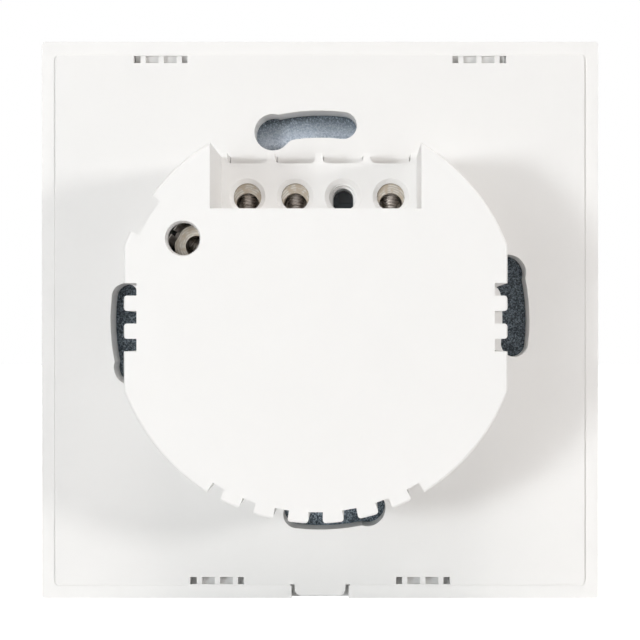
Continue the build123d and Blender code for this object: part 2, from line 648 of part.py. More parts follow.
def side_terminal():
    """Nickel pillar on a stem, with a blind wire bore from behind and a screw hole in its flat."""
    x, z = polar(SIDE_BORE_RADIUS, SIDE_ANGLE_DEG)
    foot_y = SIDE_FACE_Y - SIDE_PILLAR_LENGTH
    pillar = rod(x, z, SIDE_PILLAR_R, foot_y, SIDE_FACE_Y)
    beyond = 2 * SIDE_PILLAR_R
    pillar -= side_place() * Pos(0, 0, SIDE_FLAT + beyond / 2) * Box(2 * beyond, 2 * SIDE_PILLAR_LENGTH, beyond)
    pillar += rod(x, z, SIDE_STEM_R, POWER_REAR_Y, foot_y)
    pillar += rod(x, z, PIN_WIDTH / 2, POWER_REAR_Y - PIN_LENGTH, POWER_REAR_Y)
    pillar -= rod(x, z, SIDE_BORE_R, SIDE_FACE_Y - SIDE_BORE_DEPTH, SIDE_FACE_Y)
    mouth = (SIDE_BORE_R, SIDE_FACE_Y - BORE_CHAMFER, SIDE_BORE_R + BORE_CHAMFER, SIDE_FACE_Y)
    pillar -= cone(x, z, *mouth)
    thread = Cylinder(SCREW_R + SCREW_GAP, BODY_R, align=(Align.CENTER, Align.CENTER, Align.MIN))
    return pillar - side_place() * thread


# Circuit boards and their fixings
def tab_angles():
    """Angles of the touch board's screw tabs, midway between the keyhole slots."""
    return [45 + 90 * i for i in range(4)]


def touch_board():
    """Round board with four screw tabs and clearance holes over the case screws."""
    outline = Circle(TOUCH_BOARD_R)
    for angle in tab_angles():
        bar = Rot(0, 0, angle) * Pos(TAB_RADIUS / 2, 0) * Rectangle(TAB_RADIUS, 2 * TAB_R)
        outline += bar + disc(*polar(TAB_RADIUS, angle), TAB_R)
        outline -= disc(*polar(TAB_RADIUS, angle), TAB_SCREW_R + FIXING_GAP)
    for x, z in CASE_SCREW_POINTS:
        outline -= disc(x, z, CASE_SCREW_HEAD_R + HEAD_GAP)
    return slab(outline, TOUCH_FRONT_Y, TOUCH_REAR_Y)


def touch_pads():
    """Three foam rings that join the touch board to the back of the glass."""
    rings = [disc(0, i * MARK_PITCH, PAD_RING_R) - disc(0, i * MARK_PITCH, PAD_RING_BORE_R) for i in (-1, 0, 1)]
    return Compound([slab(ring, DIFFUSER_REAR_Y, TOUCH_FRONT_Y) for ring in rings])


def indicator_leds():
    """One light behind each touch mark."""
    half = LED_SIZE / 2
    lights = []
    for i in (-1, 0, 1):
        z = i * MARK_PITCH
        lights.append(brick(-half, half, TOUCH_FRONT_Y - LED_HEIGHT, TOUCH_FRONT_Y, z - half, z + half))
    return Compound(lights)


def radio_outline(inset=0.0):
    """Outline of the radio module."""
    half_x, half_z = RADIO_WIDTH / 2 - inset, RADIO_LENGTH / 2 - inset
    return rect(RADIO_X - half_x, RADIO_X + half_x, RADIO_Z - half_z, RADIO_Z + half_z)


def radio_module():
    """Small board of the radio, on the front of the touch board."""
    return slab(radio_outline(), TOUCH_FRONT_Y - RADIO_BOARD_THICKNESS, TOUCH_FRONT_Y)


def radio_shield():
    """Metal can over the radio's chips, short of its antenna end."""
    top = TOUCH_FRONT_Y - RADIO_BOARD_THICKNESS
    keep = rect(-BODY_R, BODY_R, -BODY_R, RADIO_Z + RADIO_LENGTH / 2 - ANTENNA_LENGTH)
    can = slab(radio_outline(SHIELD_INSET) & keep, top - SHIELD_HEIGHT, top)
    inside_keep = rect(-BODY_R, BODY_R, -BODY_R, RADIO_Z + RADIO_LENGTH / 2 - ANTENNA_LENGTH - SHIELD_WALL)
    inside = radio_outline(SHIELD_INSET + SHIELD_WALL) & inside_keep
    return can - slab(inside, top - SHIELD_HEIGHT + SHIELD_WALL, top)


def touch_chip():
    """Touch controller on the back of the touch board."""
    half = TOUCH_CHIP_SIZE / 2
    limits = (TOUCH_CHIP_X - half, TOUCH_CHIP_X + half, TOUCH_REAR_Y, TOUCH_REAR_Y + TOUCH_CHIP_HEIGHT)
    return brick(*limits, TOUCH_CHIP_Z - half, TOUCH_CHIP_Z + half)


def connector(y0, y1):
    """One half of the connector between the two boards."""
    x, z = HEADER_LENGTH / 2, HEADER_WIDTH / 2
    return brick(HEADER_X - x, HEADER_X + x, y0, y1, HEADER_Z - z, HEADER_Z + z)


def power_board():
    """Board that fills the base plate's opening and carries the terminals and the relays."""
    outline = opening_outline(-POWER_BOARD_GAP)
    for x, z in CASE_SCREW_POINTS:
        outline -= disc(x, z, CASE_SCREW_R + FIXING_GAP)
    for x in CELL_X.values():
        outline -= solder_pins(x, ROW_BORE_Z, PIN_GAP)
    outline -= disc(*polar(SIDE_BORE_RADIUS, SIDE_ANGLE_DEG), PIN_WIDTH / 2 + PIN_GAP)
    return slab(outline, POWER_FRONT_Y, POWER_REAR_Y)


def fixing(x, z, seat_y, shank_r, length, head_r, head_height):
    """Pan head screw driven towards +Y, with its head on seat_y."""
    screw = rod(x, z, shank_r, seat_y, seat_y + length)
    screw += rod(x, z, head_r, seat_y - head_height, seat_y)
    slot = brick(x - head_r, x + head_r, seat_y - head_height, seat_y - head_height / 2, z - shank_r / 4, z + shank_r / 4)
    return screw - slot


def case_screws():
    """Screws that clamp the power board between the plate's ears and the housing's posts."""
    sizes = (CASE_SCREW_R, CASE_SCREW_LENGTH, CASE_SCREW_HEAD_R, CASE_SCREW_HEAD_HEIGHT)
    return Compound([fixing(x, z, EAR_FRONT_Y, *sizes) for x, z in CASE_SCREW_POINTS])


def touch_board_screws():
    """Screws that hold the touch board's tabs on the base plate."""
    sizes = (TAB_SCREW_R, TAB_SCREW_LENGTH, TAB_SCREW_HEAD_R, TAB_SCREW_HEAD_HEIGHT)
    return Compound([fixing(*polar(TAB_RADIUS, a), TOUCH_FRONT_Y, *sizes) for a in tab_angles()])


# Relays, each in a frame with its origin at its centre on the power board
def relay_parts(x):
    """Pieces of one relay, by name: the armature rests open, hinged on the yoke's end."""
    place = Pos(x, POWER_REAR_Y, RELAY_Z)
    half_x, half_z = RELAY_WIDTH / 2, RELAY_LENGTH / 2
    inner_x, inner_z = half_x - RELAY_WALL, half_z - RELAY_WALL
    base_top = RELAY_BASE_THICKNESS
    coil_base = base_top + YOKE_THICKNESS
    core_top = coil_base + COIL_HEIGHT + CORE_R / 4
    yoke_top = core_top + ARMATURE_GAP
    under = yoke_top + ARMATURE_LIFT
    blade_y = under + ARMATURE_THICKNESS
    yoke_half, pole_z = YOKE_WIDTH / 2, YOKE_THICKNESS / 2
    case = brick(-half_x, half_x, 0, RELAY_HEIGHT, -half_z, half_z)
    case -= brick(-inner_x, inner_x, 0, RELAY_HEIGHT - RELAY_WALL, -inner_z, inner_z)
    base = brick(-inner_x, inner_x, 0, base_top, -inner_z, inner_z)
    coil = rod(0, COIL_Z, COIL_R, coil_base, coil_base + COIL_HEIGHT)
    coil -= rod(0, COIL_Z, CORE_R + COIL_GAP, coil_base, coil_base + COIL_HEIGHT)
    yoke = rod(0, COIL_Z, CORE_R, base_top, core_top)
    yoke += brick(-yoke_half, yoke_half, base_top, yoke_top, YOKE_Z - pole_z, YOKE_Z + pole_z)
    yoke += brick(-yoke_half, yoke_half, base_top, coil_base, YOKE_Z, COIL_Z + CORE_R)
    armature = brick(-yoke_half, yoke_half, under, blade_y, YOKE_Z - pole_z, ARMATURE_END_Z)
    blade_half = BLADE_WIDTH / 2
    tip_z = CONTACT_Z + CONTACT_R
    arm = brick(-blade_half, blade_half, blade_y, blade_y + BLADE_THICKNESS, YOKE_Z + pole_z, tip_z)
    arm += rod(0, CONTACT_Z, CONTACT_R, blade_y - CONTACT_HEIGHT, blade_y)
    post_top = blade_y - CONTACT_HEIGHT - CONTACT_GAP
    post = rod(0, CONTACT_Z, CONTACT_R, base_top, post_top)
    pieces = {
        "case": case,
        "base": base,
        "coil": coil,
        "yoke": yoke,
        "armature": armature,
        "contact_arm": arm,
        "fixed_contact": post,
    }
    return {name: place * piece for name, piece in pieces.items()}


# Power supply
def on_power_board(at, size):
    """Rectangular part that stands on the power board, by its centre and its x, y and z size."""
    x, z = at
    width, height, length = size
    limits = (x - width / 2, x + width / 2, POWER_REAR_Y, POWER_REAR_Y + height)
    return brick(*limits, z - length / 2, z + length / 2)


def transformer_core():
    """Ferrite core with three legs and two yokes."""
    width, height, length = TRANSFORMER_SIZE
    core = on_power_board((0, TRANSFORMER_Z), (width, height, length / 2))
    window_high = POWER_REAR_Y + height - TRANSFORMER_LEG
    window_low = POWER_REAR_Y + TRANSFORMER_LEG
    for side in (-1, 1):
        x0, x1 = sorted((side * TRANSFORMER_LEG / 2, side * (width / 2 - TRANSFORMER_LEG / 2)))
        z0, z1 = TRANSFORMER_Z - length / 2, TRANSFORMER_Z + length / 2
        core -= brick(x0, x1, window_low, window_high, z0, z1)
    return core


def transformer_winding():
    """Taped winding round the core's middle leg."""
    width, height, length = TRANSFORMER_SIZE
    half_x = width / 2 - TRANSFORMER_LEG / 2 - WINDING_GAP
    low = POWER_REAR_Y + TRANSFORMER_LEG + WINDING_GAP
    high = POWER_REAR_Y + height - TRANSFORMER_LEG - WINDING_GAP
    z0, z1 = TRANSFORMER_Z - length / 2, TRANSFORMER_Z + length / 2
    winding = brick(-half_x, half_x, low, high, z0, z1)
    hole_x = TRANSFORMER_LEG / 2
    hole_z = length / 4
    return winding - brick(-hole_x, hole_x, low, high, TRANSFORMER_Z - hole_z, TRANSFORMER_Z + hole_z)


def electrolytic(x, z, r, height):
    """Can capacitor with a crossed vent in its end."""
    top = POWER_REAR_Y + height
    can = rod(x, z, r, POWER_REAR_Y, top)
    arm, half = 0.7 * r, CAPACITOR_VENT_DEPTH / 2
    can -= brick(x - arm, x + arm, top - CAPACITOR_VENT_DEPTH, top, z - half, z + half)
    return can - brick(x - half, x + half, top - CAPACITOR_VENT_DEPTH, top, z - arm, z + arm)


def bulk_capacitors():
    """The two large capacitors, one each side of the transformer."""
    sizes = (BULK_CAPACITOR_Z, BULK_CAPACITOR_R, BULK_CAPACITOR_HEIGHT)
    return Compound([electrolytic(side * BULK_CAPACITOR_X, *sizes) for side in (-1, 1)])


def varistor():
    """Disc standing on edge on the power board."""
    x, z = VARISTOR_AT
    tilt = Rot(0, 90, 0)
    return Pos(x, POWER_REAR_Y + VARISTOR_R, z) * tilt * Cylinder(VARISTOR_R, VARISTOR_THICKNESS)


def fuse_resistor():
    """Round body lying along z on the power board."""
    x, z = FUSE_AT
    return Pos(x, POWER_REAR_Y + FUSE_R, z) * Cylinder(FUSE_R, FUSE_LENGTH)


def filter_inductor():
    """Bobbin with two flanges."""
    x, z = INDUCTOR_AT
    top = POWER_REAR_Y + INDUCTOR_HEIGHT
    bobbin = rod(x, z, INDUCTOR_R, POWER_REAR_Y, top)
    bobbin += rod(x, z, INDUCTOR_FLANGE_R, POWER_REAR_Y, POWER_REAR_Y + INDUCTOR_FLANGE)
    return bobbin + rod(x, z, INDUCTOR_FLANGE_R, top - INDUCTOR_FLANGE, top)


def all_parts():
    """Every node of the switch, by name."""
    header_y = (TOUCH_REAR_Y + POWER_FRONT_Y) / 2
    converter_at = polar(COMB_CAVITY_R - CONVERTER_INSET, CONVERTER_ANGLE_DEG)
    nodes = {
        "glass_panel": glass_panel(),
        "glass_backing_film": glass_backing_film(),
        "light_diffuser": light_diffuser(),
        "panel_frame": panel_frame(),
        "base_plate": base_plate(),
        "back_housing": back_housing(),
        "touch_board": touch_board(),
        "touch_pads": touch_pads(),
        "indicator_leds": indicator_leds(),
        "radio_module": radio_module(),
        "radio_shield": radio_shield(),
        "touch_chip": touch_chip(),
        "board_header": connector(TOUCH_REAR_Y, header_y),
        "board_socket": connector(header_y, POWER_FRONT_Y),
        "touch_board_screws": touch_board_screws(),
        "power_board": power_board(),
        "case_screws": case_screws(),
        "transformer_core": transformer_core(),
        "transformer_winding": transformer_winding(),
        "bulk_capacitors": bulk_capacitors(),
        "filter_capacitor": on_power_board(FILTER_CAPACITOR_AT, FILTER_CAPACITOR_SIZE),
        "varistor": varistor(),
        "fuse_resistor": fuse_resistor(),
        "bridge_rectifier": on_power_board(RECTIFIER_AT, RECTIFIER_SIZE),
        "filter_inductor": filter_inductor(),
        "output_capacitor": electrolytic(0, OUTPUT_CAPACITOR_Z, OUTPUT_CAPACITOR_R, OUTPUT_CAPACITOR_HEIGHT),
        "converter_chip": on_power_board(converter_at, CONVERTER_SIZE),
    }
    for name, x in CELL_X.items():
        flat = ROW_BLOCK_TOP_Z - ROW_BORE_Z
        nodes[f"{name}_terminal"] = row_terminal(x)
        nodes[f"{name}_clamp_screw"] = row_place(x) * clamp_screw(ROW_BORE_R, flat)
        nodes[f"{name}_clamp_pad"] = row_place(x) * clamp_pad(ROW_BORE_R)
    nodes["neutral_terminal"] = side_terminal()
    nodes["neutral_clamp_screw"] = side_place() * clamp_screw(SIDE_BORE_R, SIDE_FLAT)
    nodes["neutral_clamp_pad"] = side_place() * clamp_pad(SIDE_BORE_R)
    for name, x in RELAY_X.items():
        for piece, shape in relay_parts(x).items():
            nodes[f"relay_{name}_{piece}"] = shape
    return nodes


os.makedirs("parts", exist_ok=True)
for name, shape in all_parts().items():
    export_step(shape, f"parts/{name}.step")
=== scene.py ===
"""Smart roller shutter switch, seen from behind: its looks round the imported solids."""
import json
import math

import bmesh
import bpy
import numpy as np
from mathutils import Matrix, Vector


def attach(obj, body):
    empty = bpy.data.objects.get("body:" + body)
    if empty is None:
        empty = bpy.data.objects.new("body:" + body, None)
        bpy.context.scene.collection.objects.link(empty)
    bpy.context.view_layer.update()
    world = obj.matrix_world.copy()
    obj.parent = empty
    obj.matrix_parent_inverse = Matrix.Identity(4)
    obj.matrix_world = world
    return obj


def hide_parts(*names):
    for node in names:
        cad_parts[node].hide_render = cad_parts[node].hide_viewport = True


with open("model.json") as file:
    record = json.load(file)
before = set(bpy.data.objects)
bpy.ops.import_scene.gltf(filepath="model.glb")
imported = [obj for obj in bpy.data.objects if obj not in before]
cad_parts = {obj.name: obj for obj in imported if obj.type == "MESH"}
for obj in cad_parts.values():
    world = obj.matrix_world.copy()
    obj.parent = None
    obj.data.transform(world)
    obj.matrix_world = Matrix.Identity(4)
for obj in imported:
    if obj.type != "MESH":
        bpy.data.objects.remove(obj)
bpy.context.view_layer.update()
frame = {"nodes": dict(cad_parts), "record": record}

MM = 0.001
NODES = frame["nodes"]

# The photograph: 640 pixels wide, camera square-on behind the switch
PHOTO_PX = 640
FOCAL_PX = 1592.0
SENSOR_WIDTH = 36.0
AXIS_PX = (358.8, 335.9)
CAMERA_MM = (-5.99, 245.7, -2.45)


# Surfaces
def grid_quads(rows, cols, ring_rows, ring_cols, first):
    """Corner (i, j) joins (i, j + 1), (i + 1, j + 1) and (i + 1, j).

    A ring joins its last line to its first.
    """
    i, j = np.meshgrid(
        np.arange(rows if ring_rows else rows - 1), np.arange(cols if ring_cols else cols - 1), indexing="ij"
    )
    i2, j2 = (i + 1) % rows, (j + 1) % cols
    quads = np.stack([i * cols + j, i * cols + j2, i2 * cols + j2, i2 * cols + j], -1)
    return (quads.reshape(-1, 4) + first).tolist()


class Shell:
    """Collects grids and end caps, in millimetres, into one mesh."""

    def __init__(self):
        self.points, self.faces, self.count = [], [], 0

    def grid(self, points, ring_rows=False, ring_cols=True, caps=True):
        """Adds a rows x cols x 3 array of points; caps close its first and last row with a flat face."""
        rows, cols = points.shape[:2]
        first = self.count
        self.points.append(points.reshape(-1, 3))
        self.faces += grid_quads(rows, cols, ring_rows, ring_cols, first)
        if caps and ring_cols and not ring_rows:
            self.faces.append(list(range(first + cols - 1, first - 1, -1)))
            self.faces.append(list(range(first + (rows - 1) * cols, first + rows * cols)))
        self.count += rows * cols
        return self

    def make(self, name, body, slot, replaces=(), *, smooth):
        """Makes the mesh in metres, closes its seams, points its faces outwards and rides it on its body."""
        mesh = bpy.data.meshes.new(name)
        mesh.from_pydata((np.concatenate(self.points) * MM).tolist(), [], self.faces)
        shape = bmesh.new()
        shape.from_mesh(mesh)
        bmesh.ops.remove_doubles(shape, verts=shape.verts, dist=1e-7)
        bmesh.ops.dissolve_degenerate(shape, edges=shape.edges, dist=1e-8)
        bmesh.ops.recalc_face_normals(shape, faces=shape.faces)
        shape.to_mesh(mesh)
        shape.free()
        piece = bpy.data.objects.new(name, mesh)
        bpy.context.scene.collection.objects.link(piece)
        mesh.materials.append(FINISHES[slot])
        mesh.polygons.foreach_set("use_smooth", [True] * len(mesh.polygons))
        mesh.set_sharp_from_angle(angle=math.radians(smooth))
        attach(piece, body)
        if replaces:
            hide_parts(*replaces)
        return piece


# Materials
def new_material(name):
    """Empty material with its shader and its object coordinates."""
    material = bpy.data.materials.new(name)
    material.use_nodes = True
    tree = material.node_tree
    shader = tree.nodes["Principled BSDF"]
    place = tree.nodes.new("ShaderNodeTexCoord")
    return material, tree, shader, place.outputs["Object"]


def noise(tree, place, scale, detail=4.0, roughness=0.55):
    """Cloudy value from 0 to 1, by its scale in cells per metre."""
    node = tree.nodes.new("ShaderNodeTexNoise")
    node.inputs["Scale"].default_value = scale
    node.inputs["Detail"].default_value = detail
    node.inputs["Roughness"].default_value = roughness
    tree.links.new(place, node.inputs["Vector"])
    return node.outputs["Fac"]


def cells(tree, place, scale, metric="EUCLIDEAN"):
    """Distance to the nearest of scattered points, in cells per metre."""
    node = tree.nodes.new("ShaderNodeTexVoronoi")
    node.distance = metric
    node.inputs["Scale"].default_value = scale
    tree.links.new(place, node.inputs["Vector"])
    return node.outputs["Distance"]


def ramp(tree, value, stops):
    """Colour from a value, by stops of (position, colour)."""
    node = tree.nodes.new("ShaderNodeValToRGB")
    ends = node.color_ramp.elements
    while len(ends) < len(stops):
        ends.new(0.5)
    for end, (position, colour) in zip(ends, stops):
        end.position = position
        end.color = (*colour, 1.0)
    tree.links.new(value, node.inputs["Fac"])
    return node.outputs["Color"]


def maths(tree, kind, *values):
    """Value or vector maths on sockets and plain numbers."""
    node = tree.nodes.new("ShaderNodeVectorMath" if kind == "LENGTH" else "ShaderNodeMath")
    node.operation = kind
    for socket, value in zip(node.inputs, values):
        if isinstance(value, (int, float)):
            socket.default_value = value
        else:
            tree.links.new(value, socket)
    return node.outputs["Value"]


def mixed(tree, share, first, second):
    """Colour between two colours by a share; either may be a plain colour."""
    node = tree.nodes.new("ShaderNodeMix")
    node.data_type = "RGBA"
    tree.links.new(share, node.inputs["Factor"])
    # Sockets 6, 7 and output 2 are the node's two colours and its colour result
    for socket, colour in zip((node.inputs[6], node.inputs[7]), (first, second)):
        if isinstance(colour, tuple):
            socket.default_value = (*colour, 1.0)
        else:
            tree.links.new(colour, socket)
    return node.outputs[2]


def graded(tree, value, low, high):
    """0 below one value, 1 above the other, smooth between."""
    node = tree.nodes.new("ShaderNodeMapRange")
    node.interpolation_type = "SMOOTHSTEP"
    node.inputs["From Min"].default_value = low
    node.inputs["From Max"].default_value = high
    tree.links.new(value, node.inputs["Value"])
    return node.outputs["Result"]


def bump(tree, shader, value, depth):
    """Fine relief of a depth in millimetres on the shader's normal."""
    node = tree.nodes.new("ShaderNodeBump")
    node.inputs["Strength"].default_value = 1.0
    node.inputs["Distance"].default_value = depth * MM
    tree.links.new(value, node.inputs["Height"])
    tree.links.new(node.outputs["Normal"], shader.inputs["Normal"])


def shade(colour, k):
    """The colour made lighter or darker by a factor."""
    return tuple(min(1.0, c * k) for c in colour)


def spread_stops(colour, low, high, spread):
    """Two stops of a ramp: the colour darker and lighter by the same share."""
    return [(low, shade(colour, 1 - spread)), (high, shade(colour, 1 + spread))]


def plain(name, colour, rough, grain, metal=0.0, spread=0.06, relief=0.01, coat=0.0):
    """Finish with a cloudy colour spread, a grain of its own and a little relief."""
    material, tree, shader, place = new_material(name)
    cloud = noise(tree, place, grain)
    tree.links.new(ramp(tree, cloud, spread_stops(colour, 0.3, 0.7, spread)), shader.inputs["Base Color"])
    shader.inputs["Roughness"].default_value = rough
    shader.inputs["Metallic"].default_value = metal
    shader.inputs["Coat Weight"].default_value = coat
    bump(tree, shader, noise(tree, place, grain * 6, 2.0), relief)
    return material


# Moulded plastic, and how much darker the plate's is than the housing's: painted shade for the plate lying
# behind the housing
WHITE = (0.866, 0.861, 0.85)
PLATE_SHADE_TONE = 0.97


def satin_white(name, rough, relief, tone=1.0):
    """Satin moulded plastic: nearly even warm white with a fine spark-eroded grain."""
    return plain(name, shade(WHITE, tone), rough, grain=60.0, spread=0.008, relief=relief)


# Film: specks per metre; in metres, the painted light's ragged edge, radius and height (the rear painted pale
# inside the upper arc as painted light, dark beyond its radius as painted shadow), and the film's rear face
SPECKS_PER_M = 4200.0
PAINTED_LIGHT_RAGGED = 0.004
PAINTED_LIGHT_RADIUS = (0.0334, 0.0290)
PAINTED_LIGHT_HEIGHT = (0.015, 0.022)
FILM_REAR = (-0.00642, -0.00638)
FILM_FRONT_COLOUR = (0.006, 0.008, 0.011)
FILM_GLOSS = 0.25


def speckled_coating():
    """Dark film: even and black in front, slate with fine specks on its rear; inside the upper arc the rear
    is painted pale (painted light), dark at the arc's edge (painted shadow).
    """
    material, tree, shader, place = new_material("speckled_slate_coating")
    specks = noise(tree, place, SPECKS_PER_M, 2.0, 0.9)
    slate = [(0.36, (0.009, 0.017, 0.024)), (0.50, (0.078, 0.102, 0.122)), (0.68, (0.38, 0.45, 0.52))]
    dark = ramp(tree, specks, slate)
    # Painted light: the pale speckled colour given to the rear inside the upper arc
    painted_light = ramp(tree, specks, [(0.34, (0.31, 0.38, 0.47)), (0.66, (0.82, 0.86, 0.93))])
    split = tree.nodes.new("ShaderNodeSeparateXYZ")
    tree.links.new(place, split.inputs["Vector"])
    radius = maths(tree, "LENGTH", place)
    # Painted light and shadow: pale inside the upper arc's radius and above its height, dark beyond the
    # radius as painted shadow along the arc's edge
    ragged = maths(tree, "MULTIPLY_ADD", maths(tree, "SUBTRACT", specks, 0.5), PAINTED_LIGHT_RAGGED, radius)
    painted_light_inside = graded(tree, ragged, *PAINTED_LIGHT_RADIUS)
    painted_light_share = maths(tree, "MULTIPLY", painted_light_inside, graded(tree, split.outputs["Z"], *PAINTED_LIGHT_HEIGHT))
    rear = mixed(tree, painted_light_share, dark, painted_light)
    behind = graded(tree, split.outputs["Y"], *FILM_REAR)
    tree.links.new(mixed(tree, behind, FILM_FRONT_COLOUR, rear), shader.inputs["Base Color"])
    shader.inputs["Roughness"].default_value = 0.35
    tree.links.new(maths(tree, "MULTIPLY", behind, FILM_GLOSS), shader.inputs["Specular IOR Level"])
    bump(tree, shader, maths(tree, "MULTIPLY", behind, specks), 0.01)
    return material


def clear_glass():
    """Clear toughened glass with the faintest smudge of handling."""
    material, tree, shader, place = new_material("clear_toughened_glass")
    shader.inputs["Transmission Weight"].default_value = 1.0
    shader.inputs["IOR"].default_value = 1.52
    smudge = ramp(tree, noise(tree, place, 90.0), [(0.3, (0.012,) * 3), (0.7, (0.05,) * 3)])
    tree.links.new(smudge, shader.inputs["Roughness"])
    tint = ramp(tree, noise(tree, place, 40.0), [(0.3, (0.87, 0.93, 0.91)), (0.7, (0.90, 0.95, 0.935))])
    tree.links.new(tint, shader.inputs["Base Color"])
    return material


TRACKS_PER_M = 420.0
VIAS_PER_M = 520.0


def circuit_board(name, mask, track, plated=(0.55, 0.45, 0.25)):
    """Solder mask over copper: tracks run square to each other and stand a little proud of the mask."""
    material, tree, shader, place = new_material(name)
    tracks = graded(tree, cells(tree, place, TRACKS_PER_M, "CHEBYCHEV"), 0.40, 0.46)
    vias = graded(tree, cells(tree, place, VIAS_PER_M), 0.16, 0.12)
    base = ramp(tree, noise(tree, place, 1500.0), spread_stops(mask, 0.3, 0.7, 0.15))
    laid = mixed(tree, tracks, base, track)
    tree.links.new(mixed(tree, vias, laid, plated), shader.inputs["Base Color"])
    shader.inputs["Roughness"].default_value = 0.38
    bump(tree, shader, tracks, 0.03)
    return material


NICKEL = (0.44, 0.41, 0.365)
NICKEL_TARNISH = (0.36, 0.31, 0.25)


def turned_nickel(name, bore=(0.0, 0.0)):
    """Turned metal: fine rings round a bore along the depth, painted lighter on the rings' crests and darker
    in their hollows (painted highlight and shade), with patches of warm tarnish between the bright streaks.
    """
    material, tree, shader, place = new_material(name)
    move = tree.nodes.new("ShaderNodeMapping")
    move.inputs["Location"].default_value = (-bore[0] * MM, 0.0, -bore[1] * MM)
    tree.links.new(place, move.inputs["Vector"])
    wave = tree.nodes.new("ShaderNodeTexWave")
    wave.wave_type = "RINGS"
    wave.rings_direction = "Y"
    wave.inputs["Scale"].default_value = 900.0
    wave.inputs["Distortion"].default_value = 5.0
    wave.inputs["Detail"].default_value = 2.0
    wave.inputs["Detail Scale"].default_value = 0.6
    tree.links.new(move.outputs["Vector"], wave.inputs["Vector"])
    # The turned rings are real; their lighter crests and darker hollows are painted highlight and shade, by
    # the wave that makes the relief
    bands = ramp(tree, wave.outputs["Fac"], [(0.0, shade(NICKEL, 0.78)), (1.0, shade(NICKEL, 1.15))])
    patches = graded(tree, noise(tree, place, 1300.0), 0.42, 0.62)
    tree.links.new(mixed(tree, patches, bands, NICKEL_TARNISH), shader.inputs["Base Color"])
    shader.inputs["Metallic"].default_value = 1.0
    shader.inputs["Roughness"].default_value = 0.42
    bump(tree, shader, wave.outputs["Fac"], 0.006)
    return material


def wound(name, colour, pitch, rough, metal=0.0):
    """Winding or tape: fine ridges across the depth direction, one every pitch in millimetres; painted darker
    in the hollows (painted shade) and lighter on the crests (painted highlight).
    """
    material, tree, shader, place = new_material(name)
    wave = tree.nodes.new("ShaderNodeTexWave")
    wave.bands_direction = "Y"
    wave.inputs["Scale"].default_value = 0.5 * 0.1 / (pitch * MM)
    wave.inputs["Distortion"].default_value = 0.4
    tree.links.new(place, wave.inputs["Vector"])
    # Painted shade and highlight: darker in the ridges' hollows, lighter on their crests, by the wave that
    # makes the relief
    stops = [(0.0, shade(colour, 0.72)), (1.0, shade(colour, 1.12))]
    tree.links.new(ramp(tree, wave.outputs["Fac"], stops), shader.inputs["Base Color"])
    shader.inputs["Roughness"].default_value = rough
    shader.inputs["Metallic"].default_value = metal
    bump(tree, shader, wave.outputs["Fac"], 0.03)
    return material


def pocked(name, colour, scale, rough, relief, spread=0.25):
    """Cellular or sintered surface: small pits among rounded cells, painted darker in the pits (painted
    shade).
    """
    material, tree, shader, place = new_material(name)
    pits = cells(tree, place, scale)
    # Painted shade: darker in the pits, by the cell distance that makes the relief
    tree.links.new(ramp(tree, pits, spread_stops(colour, 0.1, 0.6, spread)), shader.inputs["Base Color"])
    shader.inputs["Roughness"].default_value = rough
    bump(tree, shader, pits, relief)
    return material


